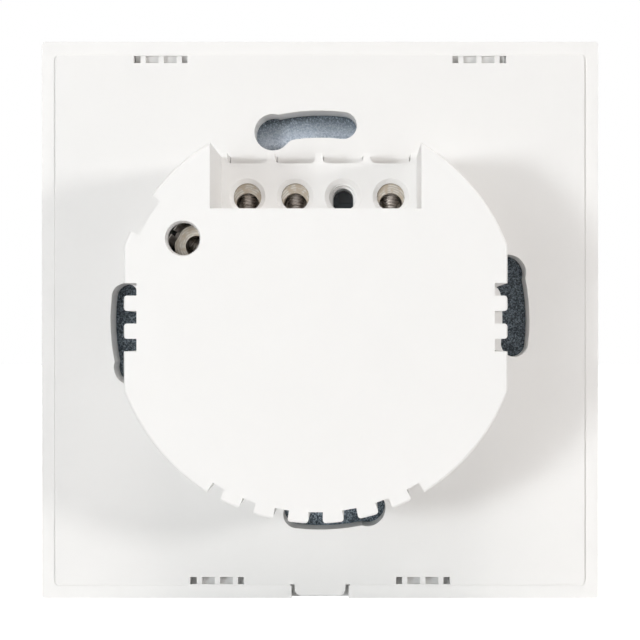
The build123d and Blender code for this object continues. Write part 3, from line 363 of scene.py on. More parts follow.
# A finish for every slot of the record
FINISHES = {
    "white_plastic": satin_white("satin_white_plastic", 0.42, 0.004),
    "frame_white": satin_white("satin_white_frame", 0.38, 0.003),
    "back_coated_glass": clear_glass(),
    "black_film": speckled_coating(),
    "milky_diffuser": plain("milky_diffuser", (0.80, 0.82, 0.83), 0.55, grain=300.0, spread=0.03),
    "green_board": circuit_board("green_solder_mask", (0.010, 0.085, 0.032), (0.022, 0.15, 0.055)),
    "dark_board": circuit_board(
        "dark_solder_mask", (0.007, 0.010, 0.016), (0.012, 0.024, 0.034), (0.05, 0.06, 0.07)),
    "foam": pocked("grey_foam", (0.16, 0.16, 0.17), 5200.0, 0.92, 0.06),
    "light_chip": plain("amber_lens", (0.86, 0.74, 0.36), 0.25, grain=1800.0, spread=0.08, coat=0.4),
    "shield_tin": plain("tinned_steel", (0.66, 0.66, 0.64), 0.28, metal=1.0, grain=700.0, spread=0.08),
    "black_resin": plain(
        "moulded_black_resin", (0.022, 0.022, 0.024), 0.62, grain=2500.0, spread=0.25, relief=0.008),
    "connector_black": plain("black_nylon", (0.018, 0.018, 0.019), 0.45, grain=1200.0, spread=0.2),
    "zinc_screw": plain("zinc_plated_steel", (0.62, 0.63, 0.66), 0.3, metal=1.0, grain=1600.0, spread=0.12),
    "nickel_block": turned_nickel("nickel_block"),
    "clamp_steel": plain("clamp_steel", (0.60, 0.55, 0.51), 0.42, metal=0.6, grain=1500.0, spread=0.15),
    "ferrite": pocked("grey_ferrite", (0.045, 0.045, 0.048), 4200.0, 0.55, 0.02),
    "winding_tape": wound("yellow_winding_tape", (0.78, 0.58, 0.07), 0.9, 0.3),
    "capacitor_sleeve": plain(
        "black_shrink_sleeve", (0.020, 0.024, 0.035), 0.28, grain=500.0, spread=0.2, coat=0.2),
    "film_capacitor_yellow": plain("yellow_resin_box", (0.80, 0.50, 0.03), 0.4, grain=900.0),
    "varistor_blue": pocked("blue_dipped_resin", (0.03, 0.12, 0.42), 900.0, 0.35, 0.05, 0.1),
    "fuse_green": pocked("green_dipped_resin", (0.06, 0.26, 0.13), 1100.0, 0.4, 0.03, 0.1),
    "inductor_sleeve": plain("inductor_sleeve", (0.028, 0.028, 0.032), 0.4, grain=900.0, spread=0.2),
    "relay_case_blue": plain("blue_relay_case", (0.035, 0.13, 0.45), 0.3, grain=300.0, spread=0.05, coat=0.2),
    "relay_base_black": plain("black_relay_base", (0.020, 0.020, 0.022), 0.5, grain=1400.0, spread=0.2),
    "copper_coil": wound("enamelled_copper", (0.70, 0.28, 0.12), 0.35, 0.32, metal=0.8),
    "soft_iron": plain("soft_iron", (0.50, 0.50, 0.49), 0.38, metal=1.0, grain=1200.0, spread=0.15),
    "contact_bronze": plain("contact_bronze", (0.72, 0.46, 0.24), 0.3, metal=1.0, grain=1300.0, spread=0.1),
}
SLOT_OF = {part["node"]: part["material_slot"] for part in frame["record"]["subparts"]}
# Middle of each terminal's wire bore, in x and z
BORES = {
    "line_terminal": (10.8, 17.35),
    "up_terminal": (3.6, 17.35),
    "down_terminal": (-10.8, 17.35),
    "neutral_terminal": (17.006, 10.218),
}


def dress_nodes():
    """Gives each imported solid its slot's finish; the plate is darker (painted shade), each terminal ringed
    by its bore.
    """
    for node, piece in NODES.items():
        finish = FINISHES[SLOT_OF[node]]
        # Painted shade: the plate's copy of the white plastic is darker than the housing's
        if node == "base_plate":
            finish = satin_white("satin_white_plate_painted_shade", 0.44, 0.004, PLATE_SHADE_TONE)
        if node in BORES:
            finish = turned_nickel(f"nickel_{node}", BORES[node])
        piece.data.materials.clear()
        piece.data.materials.append(finish)


# Shapes shared by several pieces
ALONG_X = np.array([[0, 1, 0], [0, 0, 1], [1, 0, 0]], float)
ALONG_DEPTH = np.array([[0, 0, 1], [1, 0, 0], [0, 1, 0]], float)
AGAINST_DEPTH = np.array([[1, 0, 0], [0, 0, 1], [0, -1, 0]], float)
UPRIGHT = np.eye(3)


def placed(local, centre, axes):
    """Point = centre + x * first axis + y * second axis + z * third axis."""
    return np.asarray(centre, float) + local @ axes


def turned(radius, height, columns):
    """Rows of radius x (cos, sin) round the axis at each height; both may also change with the turn."""
    turn = np.linspace(0, 2 * np.pi, columns, endpoint=False)
    radius, height = (np.asarray(v, float) for v in (radius, height))
    radius = radius[:, None] if radius.ndim == 1 else radius
    height = height[:, None] if height.ndim == 1 else height
    flat = 0 * turn + 0 * radius + 0 * height
    return np.stack([radius * np.cos(turn) + flat, radius * np.sin(turn) + flat, height + flat], -1)


def lathe(shell, profile, centre, axes, columns, closed=False):
    """Turned body: each (radius, height) of the profile carried round the axis; closed joins its two ends."""
    profile = np.asarray(profile, float)
    shell.grid(placed(turned(profile[:, 0], profile[:, 1], columns), centre, axes), ring_rows=closed)


def rounded_block(low, high, radius, corner):
    """Point = centre + sign x (half size - radius) + radius x ball normal, each ball eighth at its corner."""
    low, high = np.array(low, float), np.array(high, float)
    quarter = np.linspace(0, np.pi / 2, corner)
    turn = (quarter + np.arange(4)[:, None] * np.pi / 2).ravel()
    rise = np.concatenate([quarter - np.pi / 2, quarter])[:, None]
    flat = 0 * turn + 0 * rise
    normal = np.stack([np.cos(rise) * np.cos(turn), np.cos(rise) * np.sin(turn), np.sin(rise) + flat], -1)
    side_x, side_y = np.repeat([1, -1, -1, 1], corner), np.repeat([1, 1, -1, -1], corner)
    sign = np.stack([side_x + flat, side_y + flat, np.repeat([-1, 1], corner)[:, None] + flat], -1)
    return (low + high) / 2 + sign * ((high - low) / 2 - radius) + radius * normal


def blocks(shell, limits, radius, corner=3):
    """Several rounded blocks, each by its low and high corner."""
    for low, high in limits:
        shell.grid(rounded_block(low, high, radius, corner))


def box_round(x, z, half_x, half_z, low_y, high_y):
    """Low and high corner of a box round a point of the XZ plane."""
    return (x - half_x, low_y, z - half_z), (x + half_x, high_y, z + half_z)


def corner_arcs(half_x, half_z, radius, corner, first):
    """Loop round a rectangle: each corner's centre + radius x (cos, sin), from a given quarter turn on."""
    quarter = np.arange(4) + first
    turn = np.linspace(0, np.pi / 2, corner)[None, :] + quarter[:, None] * np.pi / 2
    signs = np.array([[1, 1], [-1, 1], [-1, -1], [1, -1]])[quarter % 4]
    middle = np.array([half_x - radius, half_z - radius]) * signs
    loop = middle[:, None, :] + radius * np.stack([np.cos(turn), np.sin(turn)], -1)
    return loop.reshape(-1, 2)


def stacked_loops(sections, centre=(0.0, 0.0), corner=6):
    """Rows of rounded rectangles (half x, half z, radius, y) stacked along the depth."""
    rows = []
    for half_x, half_z, radius, y in sections:
        loop = corner_arcs(half_x, half_z, radius, corner, 0)
        rows.append(np.stack([loop[:, 0] + centre[0], np.full(len(loop), y), loop[:, 1] + centre[1]], -1))
    return np.stack(rows)


def crossed(turn, radius):
    """Distance from the nearer arm of a cross through the axis."""
    return np.minimum(np.abs(np.cos(turn)), np.abs(np.sin(turn))) * radius


# Clamp screws: thread, dog point, slotted head, and where they sit
THREAD_PITCH = 0.45
THREAD_DEPTH = 0.24
THREAD_R = 1.25
THREAD_ROWS = 10
RIDGE_FLANK = 0.8
RUN_IN, RUN_OUT = 0.4, 0.5
SHANK_COLUMNS = 40
DOG_R = 0.95
DOG_LENGTH = 0.9
DOG_EDGE = 0.1
HEAD_R = 2.0
HEAD_EDGE = 0.18
HEAD_OVERLAP = 0.1
SLOT_WIDTH = 0.7
SLOT_DEPTH = 0.7
ROW_SCREW_Y = 2.55
ROW_SCREW_HEIGHTS = (-1.15, 4.0, 5.4)
NEUTRAL_SCREW_Y = 16
NEUTRAL_SCREW_HEIGHTS = (-0.859, 2.95, 4.35)
NEUTRAL_SCREW_AXIS = (0.8571673, 0, 0.51503807)


def screw_axes(axis):
    """Three unit vectors: across, across in depth (+Y) and along a screw that lies in the XZ plane."""
    along = np.array(axis, float)
    return np.array([[along[2], 0.0, -along[0]], [0.0, 1.0, 0.0], along])


def ridge(phase):
    """Flattened cosine of the phase in turns: 1 on a thread's crest, 0 in its root."""
    return np.clip(0.5 + RIDGE_FLANK * np.cos(2 * np.pi * phase), 0, 1)


def threaded_shank(tip, under):
    """Dog point, cone and thread; the thread's radius = core + depth x ridge(height / pitch - turn)."""
    point_end = tip + DOG_LENGTH
    height = np.arange(point_end, under, THREAD_PITCH / THREAD_ROWS)
    turn = np.linspace(0, 1, SHANK_COLUMNS, endpoint=False)
    fade = np.clip((height - point_end) / RUN_IN, 0, 1) * np.clip((under - height) / RUN_OUT, 0, 1)
    thread = THREAD_R - THREAD_DEPTH * (1 - ridge(height[:, None] / THREAD_PITCH - turn) * fade[:, None])
    dog_r = np.array([DOG_R - DOG_EDGE, DOG_R, DOG_R, THREAD_R - THREAD_DEPTH])
    dog_h = np.array([tip, tip + DOG_EDGE, point_end - DOG_EDGE, point_end - DOG_EDGE / 10])
    rows_r = np.concatenate([np.repeat(dog_r[:, None], SHANK_COLUMNS, 1), thread])
    return turned(rows_r, np.concatenate([dog_h, height]), SHANK_COLUMNS)


def slotted_head(shell, under, top, centre, axes):
    """Chords across a disc: x from the slot's profile, y = t x half chord; the slot's floor lies deeper."""
    columns, chords = 12, 17
    half = SLOT_WIDTH / 2
    reach = half + (HEAD_R - half) * np.linspace(0, 1, columns)
    across = np.concatenate([-reach[::-1], [-half, half], reach])
    level = np.concatenate([np.full(columns, top), [top - SLOT_DEPTH] * 2, np.full(columns, top)])
    t = np.sin(np.linspace(-np.pi / 2, np.pi / 2, chords))
    inner = (HEAD_R - HEAD_EDGE) / HEAD_R
    chord = np.sqrt(np.maximum(HEAD_R**2 - across**2, 0))
    wide, level_at = across[:, None] + 0 * t, level[:, None] + 0 * t
    crown = np.stack([wide * inner, chord[:, None] * t * inner, level_at], -1)
    sole = np.stack([wide, chord[:, None] * t, np.full(wide.shape, under)], -1)
    shell.grid(placed(crown, centre, axes), ring_cols=False, caps=False)
    shell.grid(placed(sole, centre, axes), ring_cols=False, caps=False)
    for end in (0, -1):
        rim = np.stack([across, chord * t[end], np.minimum(level, top - HEAD_EDGE)], -1)
        wall = np.stack([crown[:, end], rim, sole[:, end]], 1)
        shell.grid(placed(wall, centre, axes), ring_cols=False, caps=False)


def clamp_screw(terminal, y, axis, heights):
    """One slotted clamp screw by the heights of its tip, the underside of its head and its top."""
    x, z = BORES[f"{terminal}_terminal"]
    tip, under, top = heights
    axes = screw_axes(axis)
    shell = Shell()
    shell.grid(placed(threaded_shank(tip, under + HEAD_OVERLAP), (x, y, z), axes))
    slotted_head(shell, under, top, (x, y, z), axes)
    name = f"{terminal}_threaded_clamp_screw"
    shell.make(name, f"{terminal}_screw", "clamp_steel", [f"{terminal}_clamp_screw"], smooth=40)


def clamp_screws():
    """The three row screws stand upright; the neutral one leans towards its notch."""
    for terminal in ("line", "up", "down"):
        clamp_screw(terminal, ROW_SCREW_Y, (0, 0, 1), ROW_SCREW_HEIGHTS)
    clamp_screw("neutral", NEUTRAL_SCREW_Y, NEUTRAL_SCREW_AXIS, NEUTRAL_SCREW_HEIGHTS)


# Front panel: the glass, the ledges behind the snap windows and the frame's dust lip
PANEL_HALF = 43
GLASS_FRONT_Y, GLASS_REAR_Y = -10, -6.5
GLASS_EDGE = 0.4
GLASS_REAR_EDGE = 0.08
GLASS_CORNER_R = 0.05
WINDOWS = ((24.6, 1), (-24.6, 1), (15.9, -1), (-15.9, -1))
LEDGE_HALF = 4.05
LEDGE_SECTION = ((41.1, -1.3), (39.75, -2.1), (39.75, -2.8), (41.1, -2.8))
LOWER_LEDGE_SINK = 0.4
LIP_NOTCH_HALF = 4.6
LIP_SECTION = ((41.15, 0.8, -0.62), (40.84, 0.7, -0.62), (40.84, 0.7, -0.5), (41.15, 0.8, -0.5))


def glass_pane():
    """Rounded square carried along y: its half size shrinks by a quarter round at the polished front edge."""
    arc = np.linspace(0, np.pi / 2, 7)
    inset = np.concatenate([GLASS_EDGE * (1 - np.sin(arc)), [0.0, GLASS_REAR_EDGE]])
    front = GLASS_FRONT_Y + GLASS_EDGE * (1 - np.cos(arc))
    depth = np.concatenate([front, [GLASS_REAR_Y - GLASS_REAR_EDGE, GLASS_REAR_Y]])
    radii = np.maximum(GLASS_EDGE - inset, GLASS_CORNER_R) + GLASS_CORNER_R
    sections = [(PANEL_HALF - d, PANEL_HALF - d, radius, y) for d, radius, y in zip(inset, radii, depth)]
    Shell().grid(stacked_loops(sections, corner=8)).make(
        "polished_glass", "front_panel", "back_coated_glass", ["glass_panel"], smooth=30)


def ledge(x, side):
    """Prism between two x stations: its section slopes from the frame's wall down towards the plate."""
    sink = 0.0 if side > 0 else LOWER_LEDGE_SINK
    section = np.array(LEDGE_SECTION) - (0.0, sink)
    stations = x + np.array([-LEDGE_HALF, LEDGE_HALF])
    rows = np.repeat(section[None], 2, 0)
    return np.stack([np.repeat(stations[:, None], 4, 1), rows[..., 1], rows[..., 0] * side], -1)


def snap_ledges():
    """Four sloped ledges on which the windows' crush ribs stand."""
    shell = Shell()
    for x, side in WINDOWS:
        shell.grid(ledge(x, side))
    shell.make("snap_ledges", "front_panel", "frame_white", smooth=20)


def dust_lip():
    """Thin lip of the frame, just under the plate's edge: a flat section carried round, open at the notch."""
    rows = []
    for half, radius, y in LIP_SECTION:
        arcs = corner_arcs(half, half, radius, 6, -1)
        loop = np.concatenate([[[LIP_NOTCH_HALF, -half]], arcs, [[-LIP_NOTCH_HALF, -half]]])
        rows.append(np.stack([loop[:, 0], np.full(len(loop), y), loop[:, 1]], -1))
    Shell().grid(np.stack(rows, 1)).make("frame_dust_lip", "front_panel", "frame_white", smooth=30)


# Pan head screws; sizes are shank radius, length, head radius and head height
PAN_PITCH = 0.7
PAN_THREAD_DEPTH = 0.18
PAN_THREAD_ROWS = 10
PAN_RUN_IN, PAN_RUN_OUT = 1.2, 0.8
PAN_POINT, PAN_NECK = 0.5, 0.15
PAN_COLUMNS = 48
# Crown and crossed recess, in shares of the head's radius and height
CROWN_FOOT, CROWN_RISE = 0.55, 0.43
CROSS_HALF, CROSS_FLANK, CROSS_REACH, CROSS_END, CROSS_DEPTH = 0.17, 0.06, 0.62, 0.12, 0.45
CASE_SCREWS = ((-19.5, 12.0), (21.2, -1.0), (15.5, -16.5), (-15.5, -16.5))
CASE_SCREW_Y = -3.4
CASE_SCREW_SIZE = (1.1, 9.0, 1.9, 1.0)
BOARD_SCREW_RING = 27.5 * math.sqrt(0.5)
BOARD_SCREW_Y = -4.9
BOARD_SCREW_SIZE = (0.8, 2.6, 1.5, 0.8)


def pan_head_screw(shell, centre, shank_r, length, head_r, head_h):
    """Radius and height by row: point, threaded shank, pan head, then a crown cut by a crossed recess."""
    turn = np.linspace(0, 2 * np.pi, PAN_COLUMNS, endpoint=False)
    height = np.arange(-length + PAN_POINT, -PAN_NECK, PAN_PITCH / PAN_THREAD_ROWS)
    fade = np.clip((height + length) / PAN_RUN_IN, 0, 1) * np.clip(-height / PAN_RUN_OUT, 0, 1)
    phase = height[:, None] / PAN_PITCH - turn / (2 * np.pi)
    thread = shank_r - PAN_THREAD_DEPTH * (1 - ridge(phase) * fade[:, None])
    neck = np.repeat(np.array([[0.12 * shank_r], [0.7 * shank_r]]), PAN_COLUMNS, 1)
    side = np.repeat(np.array([[head_r - 0.1], [head_r], [head_r]]), PAN_COLUMNS, 1)
    share = np.linspace(0.97, 0.02, 12)[:, None]
    crown_r = head_r * share + 0 * turn
    arm = np.clip((CROSS_HALF * head_r - crossed(turn, crown_r)) / (CROSS_FLANK * head_r), 0, 1)
    cut = arm * np.clip((CROSS_REACH - share) / CROSS_END, 0, 1)
    crown_h = head_h * (CROWN_FOOT + CROWN_RISE * np.sqrt(1 - share**2)) - CROSS_DEPTH * head_h * cut
    radius = np.concatenate([neck, thread, side, crown_r])
    rows = np.concatenate([[-length + 0.02, -length + 0.42], height, [0.0, 0.05, 0.5 * head_h]])
    rows = np.repeat(rows[:, None], PAN_COLUMNS, 1)
    shell.grid(placed(turned(radius, np.concatenate([rows, crown_h]), PAN_COLUMNS), centre, AGAINST_DEPTH))


def board_screws():
    """Eight crossed pan head screws, all driven towards the wall."""
    case = Shell()
    for x, z in CASE_SCREWS:
        pan_head_screw(case, (x, CASE_SCREW_Y, z), *CASE_SCREW_SIZE)
    case.make("crossed_case_screws", "switch_base", "zinc_screw", ["case_screws"], smooth=30)
    board = Shell()
    for side_x, side_z in ((1, 1), (-1, 1), (-1, -1), (1, -1)):
        centre = (side_x * BOARD_SCREW_RING, BOARD_SCREW_Y, side_z * BOARD_SCREW_RING)
        pan_head_screw(board, centre, *BOARD_SCREW_SIZE)
    board.make("crossed_board_screws", "switch_base", "zinc_screw", ["touch_board_screws"], smooth=30)


# Touch board: its front face, the three touch fields, the radio and the controller on its rear
TOUCH_FRONT_Y = -4.9
MARK_HEIGHTS = (-17.0, 0.0, 17.0)
FOAM_FRONT_Y = -5.9
FOAM_RADII = (3.85, 5.75)
FOAM_SWELL = 0.22
LED_HALF = 0.8
LED_FRONT_Y = -5.25
DOME_R = 0.62
CAN_MIDDLE = (14.0, -10.2)
CAN_SECTIONS = (
    (3.9, 4.2, 0.35, -5.3), (3.9, 4.2, 0.35, -5.95), (3.84, 4.14, 0.32, -6.06), (3.7, 4.0, 0.3, -6.1),
    (3.0, 3.3, 0.5, -6.1), (2.9, 3.2, 0.45, -6.02), (2.0, 2.2, 0.4, -6.02),
)
ANTENNA_LIMITS_Y = (-5.33, -5.29)
CONTROLLER_MIDDLE = (-12, 4)
CONTROLLER_HALF = 2.0
CONTROLLER_LIMITS_Y = (-3.88, -3.1)
CONTACT_LIMITS_Y = (-3.9, -3.78)
CONTACT_OUT = 2.05
CONTACT_HALVES = (0.14, 0.12)


def foam_rings():
    """Soft rings turned about the depth axis, their sides swelling by a sine between the two faces."""
    share = np.linspace(0, 1, 9)
    swell = FOAM_SWELL * np.sin(np.pi * share)
    y = FOAM_FRONT_Y + share
    outer = np.stack([FOAM_RADII[1] + swell, y], -1)
    inner = np.stack([FOAM_RADII[0] - swell, y], -1)[::-1]
    shell = Shell()
    for z in MARK_HEIGHTS:
        lathe(shell, np.concatenate([outer, inner]), (0, 0, z), ALONG_DEPTH, 48, closed=True)
    shell.make("foam_touch_rings", "switch_base", "foam", ["touch_pads"], smooth=50)


def indicator_lenses():
    """A resin block with a shallow dome, turned about the depth axis, in front of each mark."""
    shell = Shell()
    share = np.linspace(1, 0.02, 8)
    dome = np.stack([DOME_R * share, 0.35 + 0.24 * np.sqrt(1 - share**2)], -1)
    for z in MARK_HEIGHTS:
        blocks(shell, [box_round(0.0, z, LED_HALF, LED_HALF, LED_FRONT_Y, TOUCH_FRONT_Y)], 0.06)
        lathe(shell, np.concatenate([[[DOME_R, 0.2]], dome]), (0, TOUCH_FRONT_Y, z), AGAINST_DEPTH, 28)
    shell.make("domed_indicators", "switch_base", "light_chip", ["indicator_leds"], smooth=40)


def radio_can():
    """Rounded rectangles stacked towards the front, with a sunk panel pressed into the can's face."""
    Shell().grid(stacked_loops(CAN_SECTIONS, CAN_MIDDLE)).make(
        "pressed_radio_can", "switch_base", "shield_tin", ["radio_shield"], smooth=30)


def radio_antenna():
    """Folded track at the module's free end: upright strips joined in turn at the top and the bottom."""
    low, high, first, step, wide, count = -5.6, -3.5, 10.2, 0.95, 0.3, 9
    front, rear = ANTENNA_LIMITS_Y
    strips = [((first + i * step, front, low), (first + i * step + wide, rear, high)) for i in range(count)]
    for i in range(count - 1):
        z = high if i % 2 else low + wide
        x = first + i * step
        strips.append(((x, front, z - wide), (x + step + wide, rear, z)))
    shell = Shell()
    blocks(shell, strips, 0.01, corner=2)
    shell.make("folded_radio_antenna", "switch_base", "contact_bronze", smooth=30)


def touch_controller():
    """Flat package: a rounded block, and small pads along its four sides."""
    x, z = CONTROLLER_MIDDLE
    package = Shell()
    blocks(package, [box_round(x, z, CONTROLLER_HALF, CONTROLLER_HALF, *CONTROLLER_LIMITS_Y)], 0.09)
    package.make("touch_controller_package", "switch_base", "black_resin", ["touch_chip"], smooth=35)
    pads = []
    out, along = CONTACT_HALVES
    for at in -1.5 + 0.6 * np.arange(6):
        for side in (-CONTACT_OUT, CONTACT_OUT):
            pads.append(box_round(x + side, z + at, out, along, *CONTACT_LIMITS_Y))
            pads.append(box_round(x + at, z + side, along, out, *CONTACT_LIMITS_Y))
    contacts = Shell()
    blocks(contacts, pads, 0.03, corner=2)
    contacts.make("touch_controller_contacts", "switch_base", "shield_tin", smooth=35)


# Power supply, standing on the power board's rear face
BOARD_Y = -0.6
BULK_CAPACITORS = ((-12.3, -10.3), (12.3, -10.3))
BULK_SIZE = (3.9, 14.0)
OUTPUT_CAPACITOR = (0.0, -22.5)
OUTPUT_SIZE = (2.4, 9.0)
CRIMP = 0.28
SLEEVE_ROLL = 0.75
SCORE_HALF, SCORE_DEPTH = 0.16, 0.14
FILM_LIMITS = ((-17.8, BOARD_Y, -5.5), (-12.2, 10.4, 7.5))
COIL_MIDDLE = (0.0, -14.2)
COIL_LIMITS_Y = (2.62, 8.18)
TAPE_RIDGE, TAPE_RIDGES = 0.2, 6
CORE_R = 0.05
VARISTOR_AT = (13.6, 3.9, -1.0)
VARISTOR_SWELL, VARISTOR_HALF = 4.4, 1.75
FUSE_AT = (-20.4, 0.9, 2.0)
FUSE_R, FUSE_HALF = 1.42, 3.7
FUSE_WAIST = 0.22
FUSE_CAP_SHARE = 0.62
DRUM_AT = (-19.4, BOARD_Y, -8.3)
DRUM_WIRE_R, DRUM_WIRE_SWELL, DRUM_WIRES = 2.0, 0.09, 14
# Name, node, low and high corner, edge radius
PACKAGES = (
    ("rectifier_package", "bridge_rectifier", (17.35, -0.42, -10.9), (20.65, 1.9, -5.1), 0.18),
    ("converter_package", "converter_chip", (-12.0, -0.42, -20.86), (-10.3, 0.6, -17.76), 0.12),
)
# Middle, distance out to each side, stations, half sizes and top of the packages' legs
PACKAGE_LEGS = (
    (19.0, 1.8, (-9.6, -6.4), (0.2, 0.4), 0.5),
    (-11.15, 1.05, -20.4 + 0.73 * np.arange(4), (0.21, 0.16), 0.05),
)
LEG_FOOT_Y = -0.58
LEAD_STATIONS = (-1.95, 5.95)
LEAD_HALF = 0.25
LEAD_TOP_Y = 1.1


def electrolytic(sleeve, end, x, z, radius, height):
    """Can turned about the depth axis: crimped near its foot, sleeve rolled over, a scored disc on top."""
    profile = [
        (0.02, 0.0), (radius - 0.5, 0.0), (radius - 0.1, 0.25), (radius, 0.6), (radius, 1.3),
        (radius - CRIMP, 1.7), (radius - CRIMP, 1.9), (radius, 2.3), (radius, height - 0.5),
        (radius - 0.12, height - 0.15), (radius - 0.4, height - 0.01), (radius - 0.7, height - 0.1),
        (radius - SLEEVE_ROLL, height - 0.4), (0.02, height - 0.4),
    ]
    lathe(sleeve, profile, (x, BOARD_Y, z), ALONG_DEPTH, 40)
    columns = 48
    turn = np.linspace(0, 2 * np.pi, columns, endpoint=False)
    share = np.linspace(1, 0.02, 14)[:, None]
    rim = radius - SLEEVE_ROLL - 0.03
    disc_r = rim * share + 0 * turn
    score = np.clip(1 - crossed(turn, disc_r) / SCORE_HALF, 0, 1) * np.clip((0.85 - share) / 0.1, 0, 1)
    rows_r = np.concatenate([np.full((1, columns), rim), disc_r])
    rows_h = np.concatenate([np.full((1, columns), height - 0.45), height - 0.2 - SCORE_DEPTH * score])
    end.grid(placed(turned(rows_r, rows_h, columns), (x, BOARD_Y, z), ALONG_DEPTH))


def capacitors():
    """Three can capacitors, a boxed film capacitor and their scored ends."""
    bulk, ends, output = Shell(), Shell(), Shell()
    for x, z in BULK_CAPACITORS:
        electrolytic(bulk, ends, x, z, *BULK_SIZE)
    electrolytic(output, ends, *OUTPUT_CAPACITOR, *OUTPUT_SIZE)
    bulk.make("bulk_capacitor_sleeves", "switch_base", "capacitor_sleeve", ["bulk_capacitors"], smooth=40)
    output.make("output_capacitor_sleeve", "switch_base", "capacitor_sleeve", ["output_capacitor"], smooth=40)
    ends.make("scored_capacitor_ends", "switch_base", "shield_tin", smooth=30)
    film = Shell()
    blocks(film, [FILM_LIMITS], 0.4, corner=5)
    film.make("film_capacitor_box", "switch_base", "film_capacitor_yellow", ["filter_capacitor"], smooth=35)


def transformer_coil():
    """Closed rings of rounded rectangles: ridged outer face, two flat ends and the passage for the core."""
    low, high = COIL_LIMITS_Y
    share = np.linspace(0, 1, 29)
    swell = TAPE_RIDGE * np.abs(np.sin(TAPE_RIDGES * np.pi * share))
    outer = [(5.08 + s, 5.28 + s, 1.4, low + (high - low) * t) for s, t in zip(swell, share)]
    inner = [(1.55, 2.8, 0.2, high), (1.55, 2.8, 0.2, low)]
    Shell().grid(stacked_loops(outer + inner, COIL_MIDDLE), ring_rows=True).make(
        "taped_transformer_coil", "switch_base", "winding_tape", ["transformer_winding"], smooth=50)


def dipped_parts():
    """Radius by the share of the half length: root of 1 - share ^ 6 for the varistor, ^ 10 for the fuse."""
    share = np.linspace(-1, 1, 17)
    varistor = Shell()
    radius = CORE_R + VARISTOR_SWELL * np.sqrt(np.clip(1 - share**6, 0, 1))
    lathe(varistor, np.stack([radius, VARISTOR_HALF * share], -1), VARISTOR_AT, ALONG_X, 48)
    varistor.make("dipped_varistor_disc", "switch_base", "varistor_blue", ["varistor"], smooth=50)
    fuse = Shell()
    out = np.abs(share)
    waist = FUSE_R - FUSE_WAIST * np.clip(1 - (2.2 * (out - 0.75)) ** 2, 0, 1) * (out < FUSE_CAP_SHARE)
    radius = CORE_R + (waist - CORE_R) * np.sqrt(np.clip(1 - share**10, 0, 1))
    lathe(fuse, np.stack([radius, FUSE_HALF * share], -1), FUSE_AT, UPRIGHT, 36)
    fuse.make("dipped_fuse_resistor", "switch_base", "fuse_green", ["fuse_resistor"], smooth=50)


def filter_drum():
    """Drum core between two flanges, its winding's radius swelling by a sine for each wire."""
    share = np.linspace(0, 1, 41)
    wires = DRUM_WIRE_R + DRUM_WIRE_SWELL * np.abs(np.sin(DRUM_WIRES * np.pi * share))
    winding = np.stack([wires, 0.85 + 5.3 * share], -1)
    ends_low = [(CORE_R, 0.0), (2.5, 0.0), (2.6, 0.1), (2.6, 0.7), (2.5, 0.8)]
    ends_high = [(2.5, 6.2), (2.6, 6.3), (2.6, 6.9), (2.5, 7.0), (CORE_R, 7.0)]
    drum = Shell()
    lathe(drum, np.concatenate([ends_low, winding, ends_high]), DRUM_AT, ALONG_DEPTH, 36)
    drum.make("wound_filter_drum", "switch_base", "inductor_sleeve", ["filter_inductor"], smooth=50)


def flat_packages():
    """Rectifier and converter: rounded blocks, just above the board."""
    for name, node, low, high, radius in PACKAGES:
        body = Shell()
        blocks(body, [(low, high)], radius, corner=4)
        body.make(name, "switch_base", "black_resin", [node], smooth=35)


def soldered_legs():
    """Short rounded blocks: legs along two sides of each package, and the fuse resistor's two leads."""
    legs = []
    for middle, out, stations, halves, top in PACKAGE_LEGS:
        for z in stations:
            for side in (-1, 1):
                legs.append(box_round(middle + side * out, z, *halves, LEG_FOOT_Y, top))
    for z in LEAD_STATIONS:
        legs.append(box_round(FUSE_AT[0], z, LEAD_HALF, LEAD_HALF, BOARD_Y, LEAD_TOP_Y))
    shell = Shell()
    blocks(shell, legs, 0.05)
    shell.make("soldered_legs", "switch_base", "shield_tin", smooth=35)


# Connector between the boards: middle height, half sizes of its bars, and the tails on both boards
CONNECTOR_Z = -20.6
CONNECTOR_HALVES = (6.0, 1.25)
CONNECTOR_BARS = (("header_bar", "board_header", -3.88, -3.06), ("socket_bar", "board_socket", -3.04, -2.22))
TAIL_LIMITS_Y = ((-3.9, -3.78), (-2.32, -2.2))


def connector_halves():
    """Header and socket: rounded bars, and a row of tails along each long side."""
    for name, node, low, high in CONNECTOR_BARS:
        shell = Shell()
        blocks(shell, [box_round(0.0, CONNECTOR_Z, *CONNECTOR_HALVES, low, high)], 0.12)
        shell.make(name, "switch_base", "connector_black", [node], smooth=35)
    tails = []
    half_z = 0.225
    for x in -4.8 + 1.2 * np.arange(9):
        for side in (-1, 1):
            z = CONNECTOR_Z + side * (CONNECTOR_HALVES[1] + half_z)
            tails += [box_round(x, z, 0.2, half_z, low, high) for low, high in TAIL_LIMITS_Y]
    shell = Shell()
    blocks(shell, tails, 0.04, corner=2)
    shell.make("connector_tails", "switch_base", "contact_bronze", smooth=35)


# Relays: their middles, the bobbin's wire and the covers
RELAYS = (("up", -5.6), ("down", 5.6))
COIL_Y, COIL_Z = 1.6, 0.93
WIRE_PITCH = 0.37
COVER_Z = 3.83
COVER_OUTER = ((5.1, 9.4, 0.5, -0.6), (5.1, 9.4, 0.5, 14.2), (4.98, 9.28, 0.45, 14.56), (4.7, 9.0, 0.4, 14.7))
COVER_TOP = (0.4, 0.4, 0.15, 14.7)
COVER_CEILING = (0.4, 0.4, 0.15, 14.1)
COVER_INNER = ((4.3, 8.6, 0.2, 14.1), (4.5, 8.8, 0.3, 14.05), (4.5, 8.8, 0.3, -0.6))


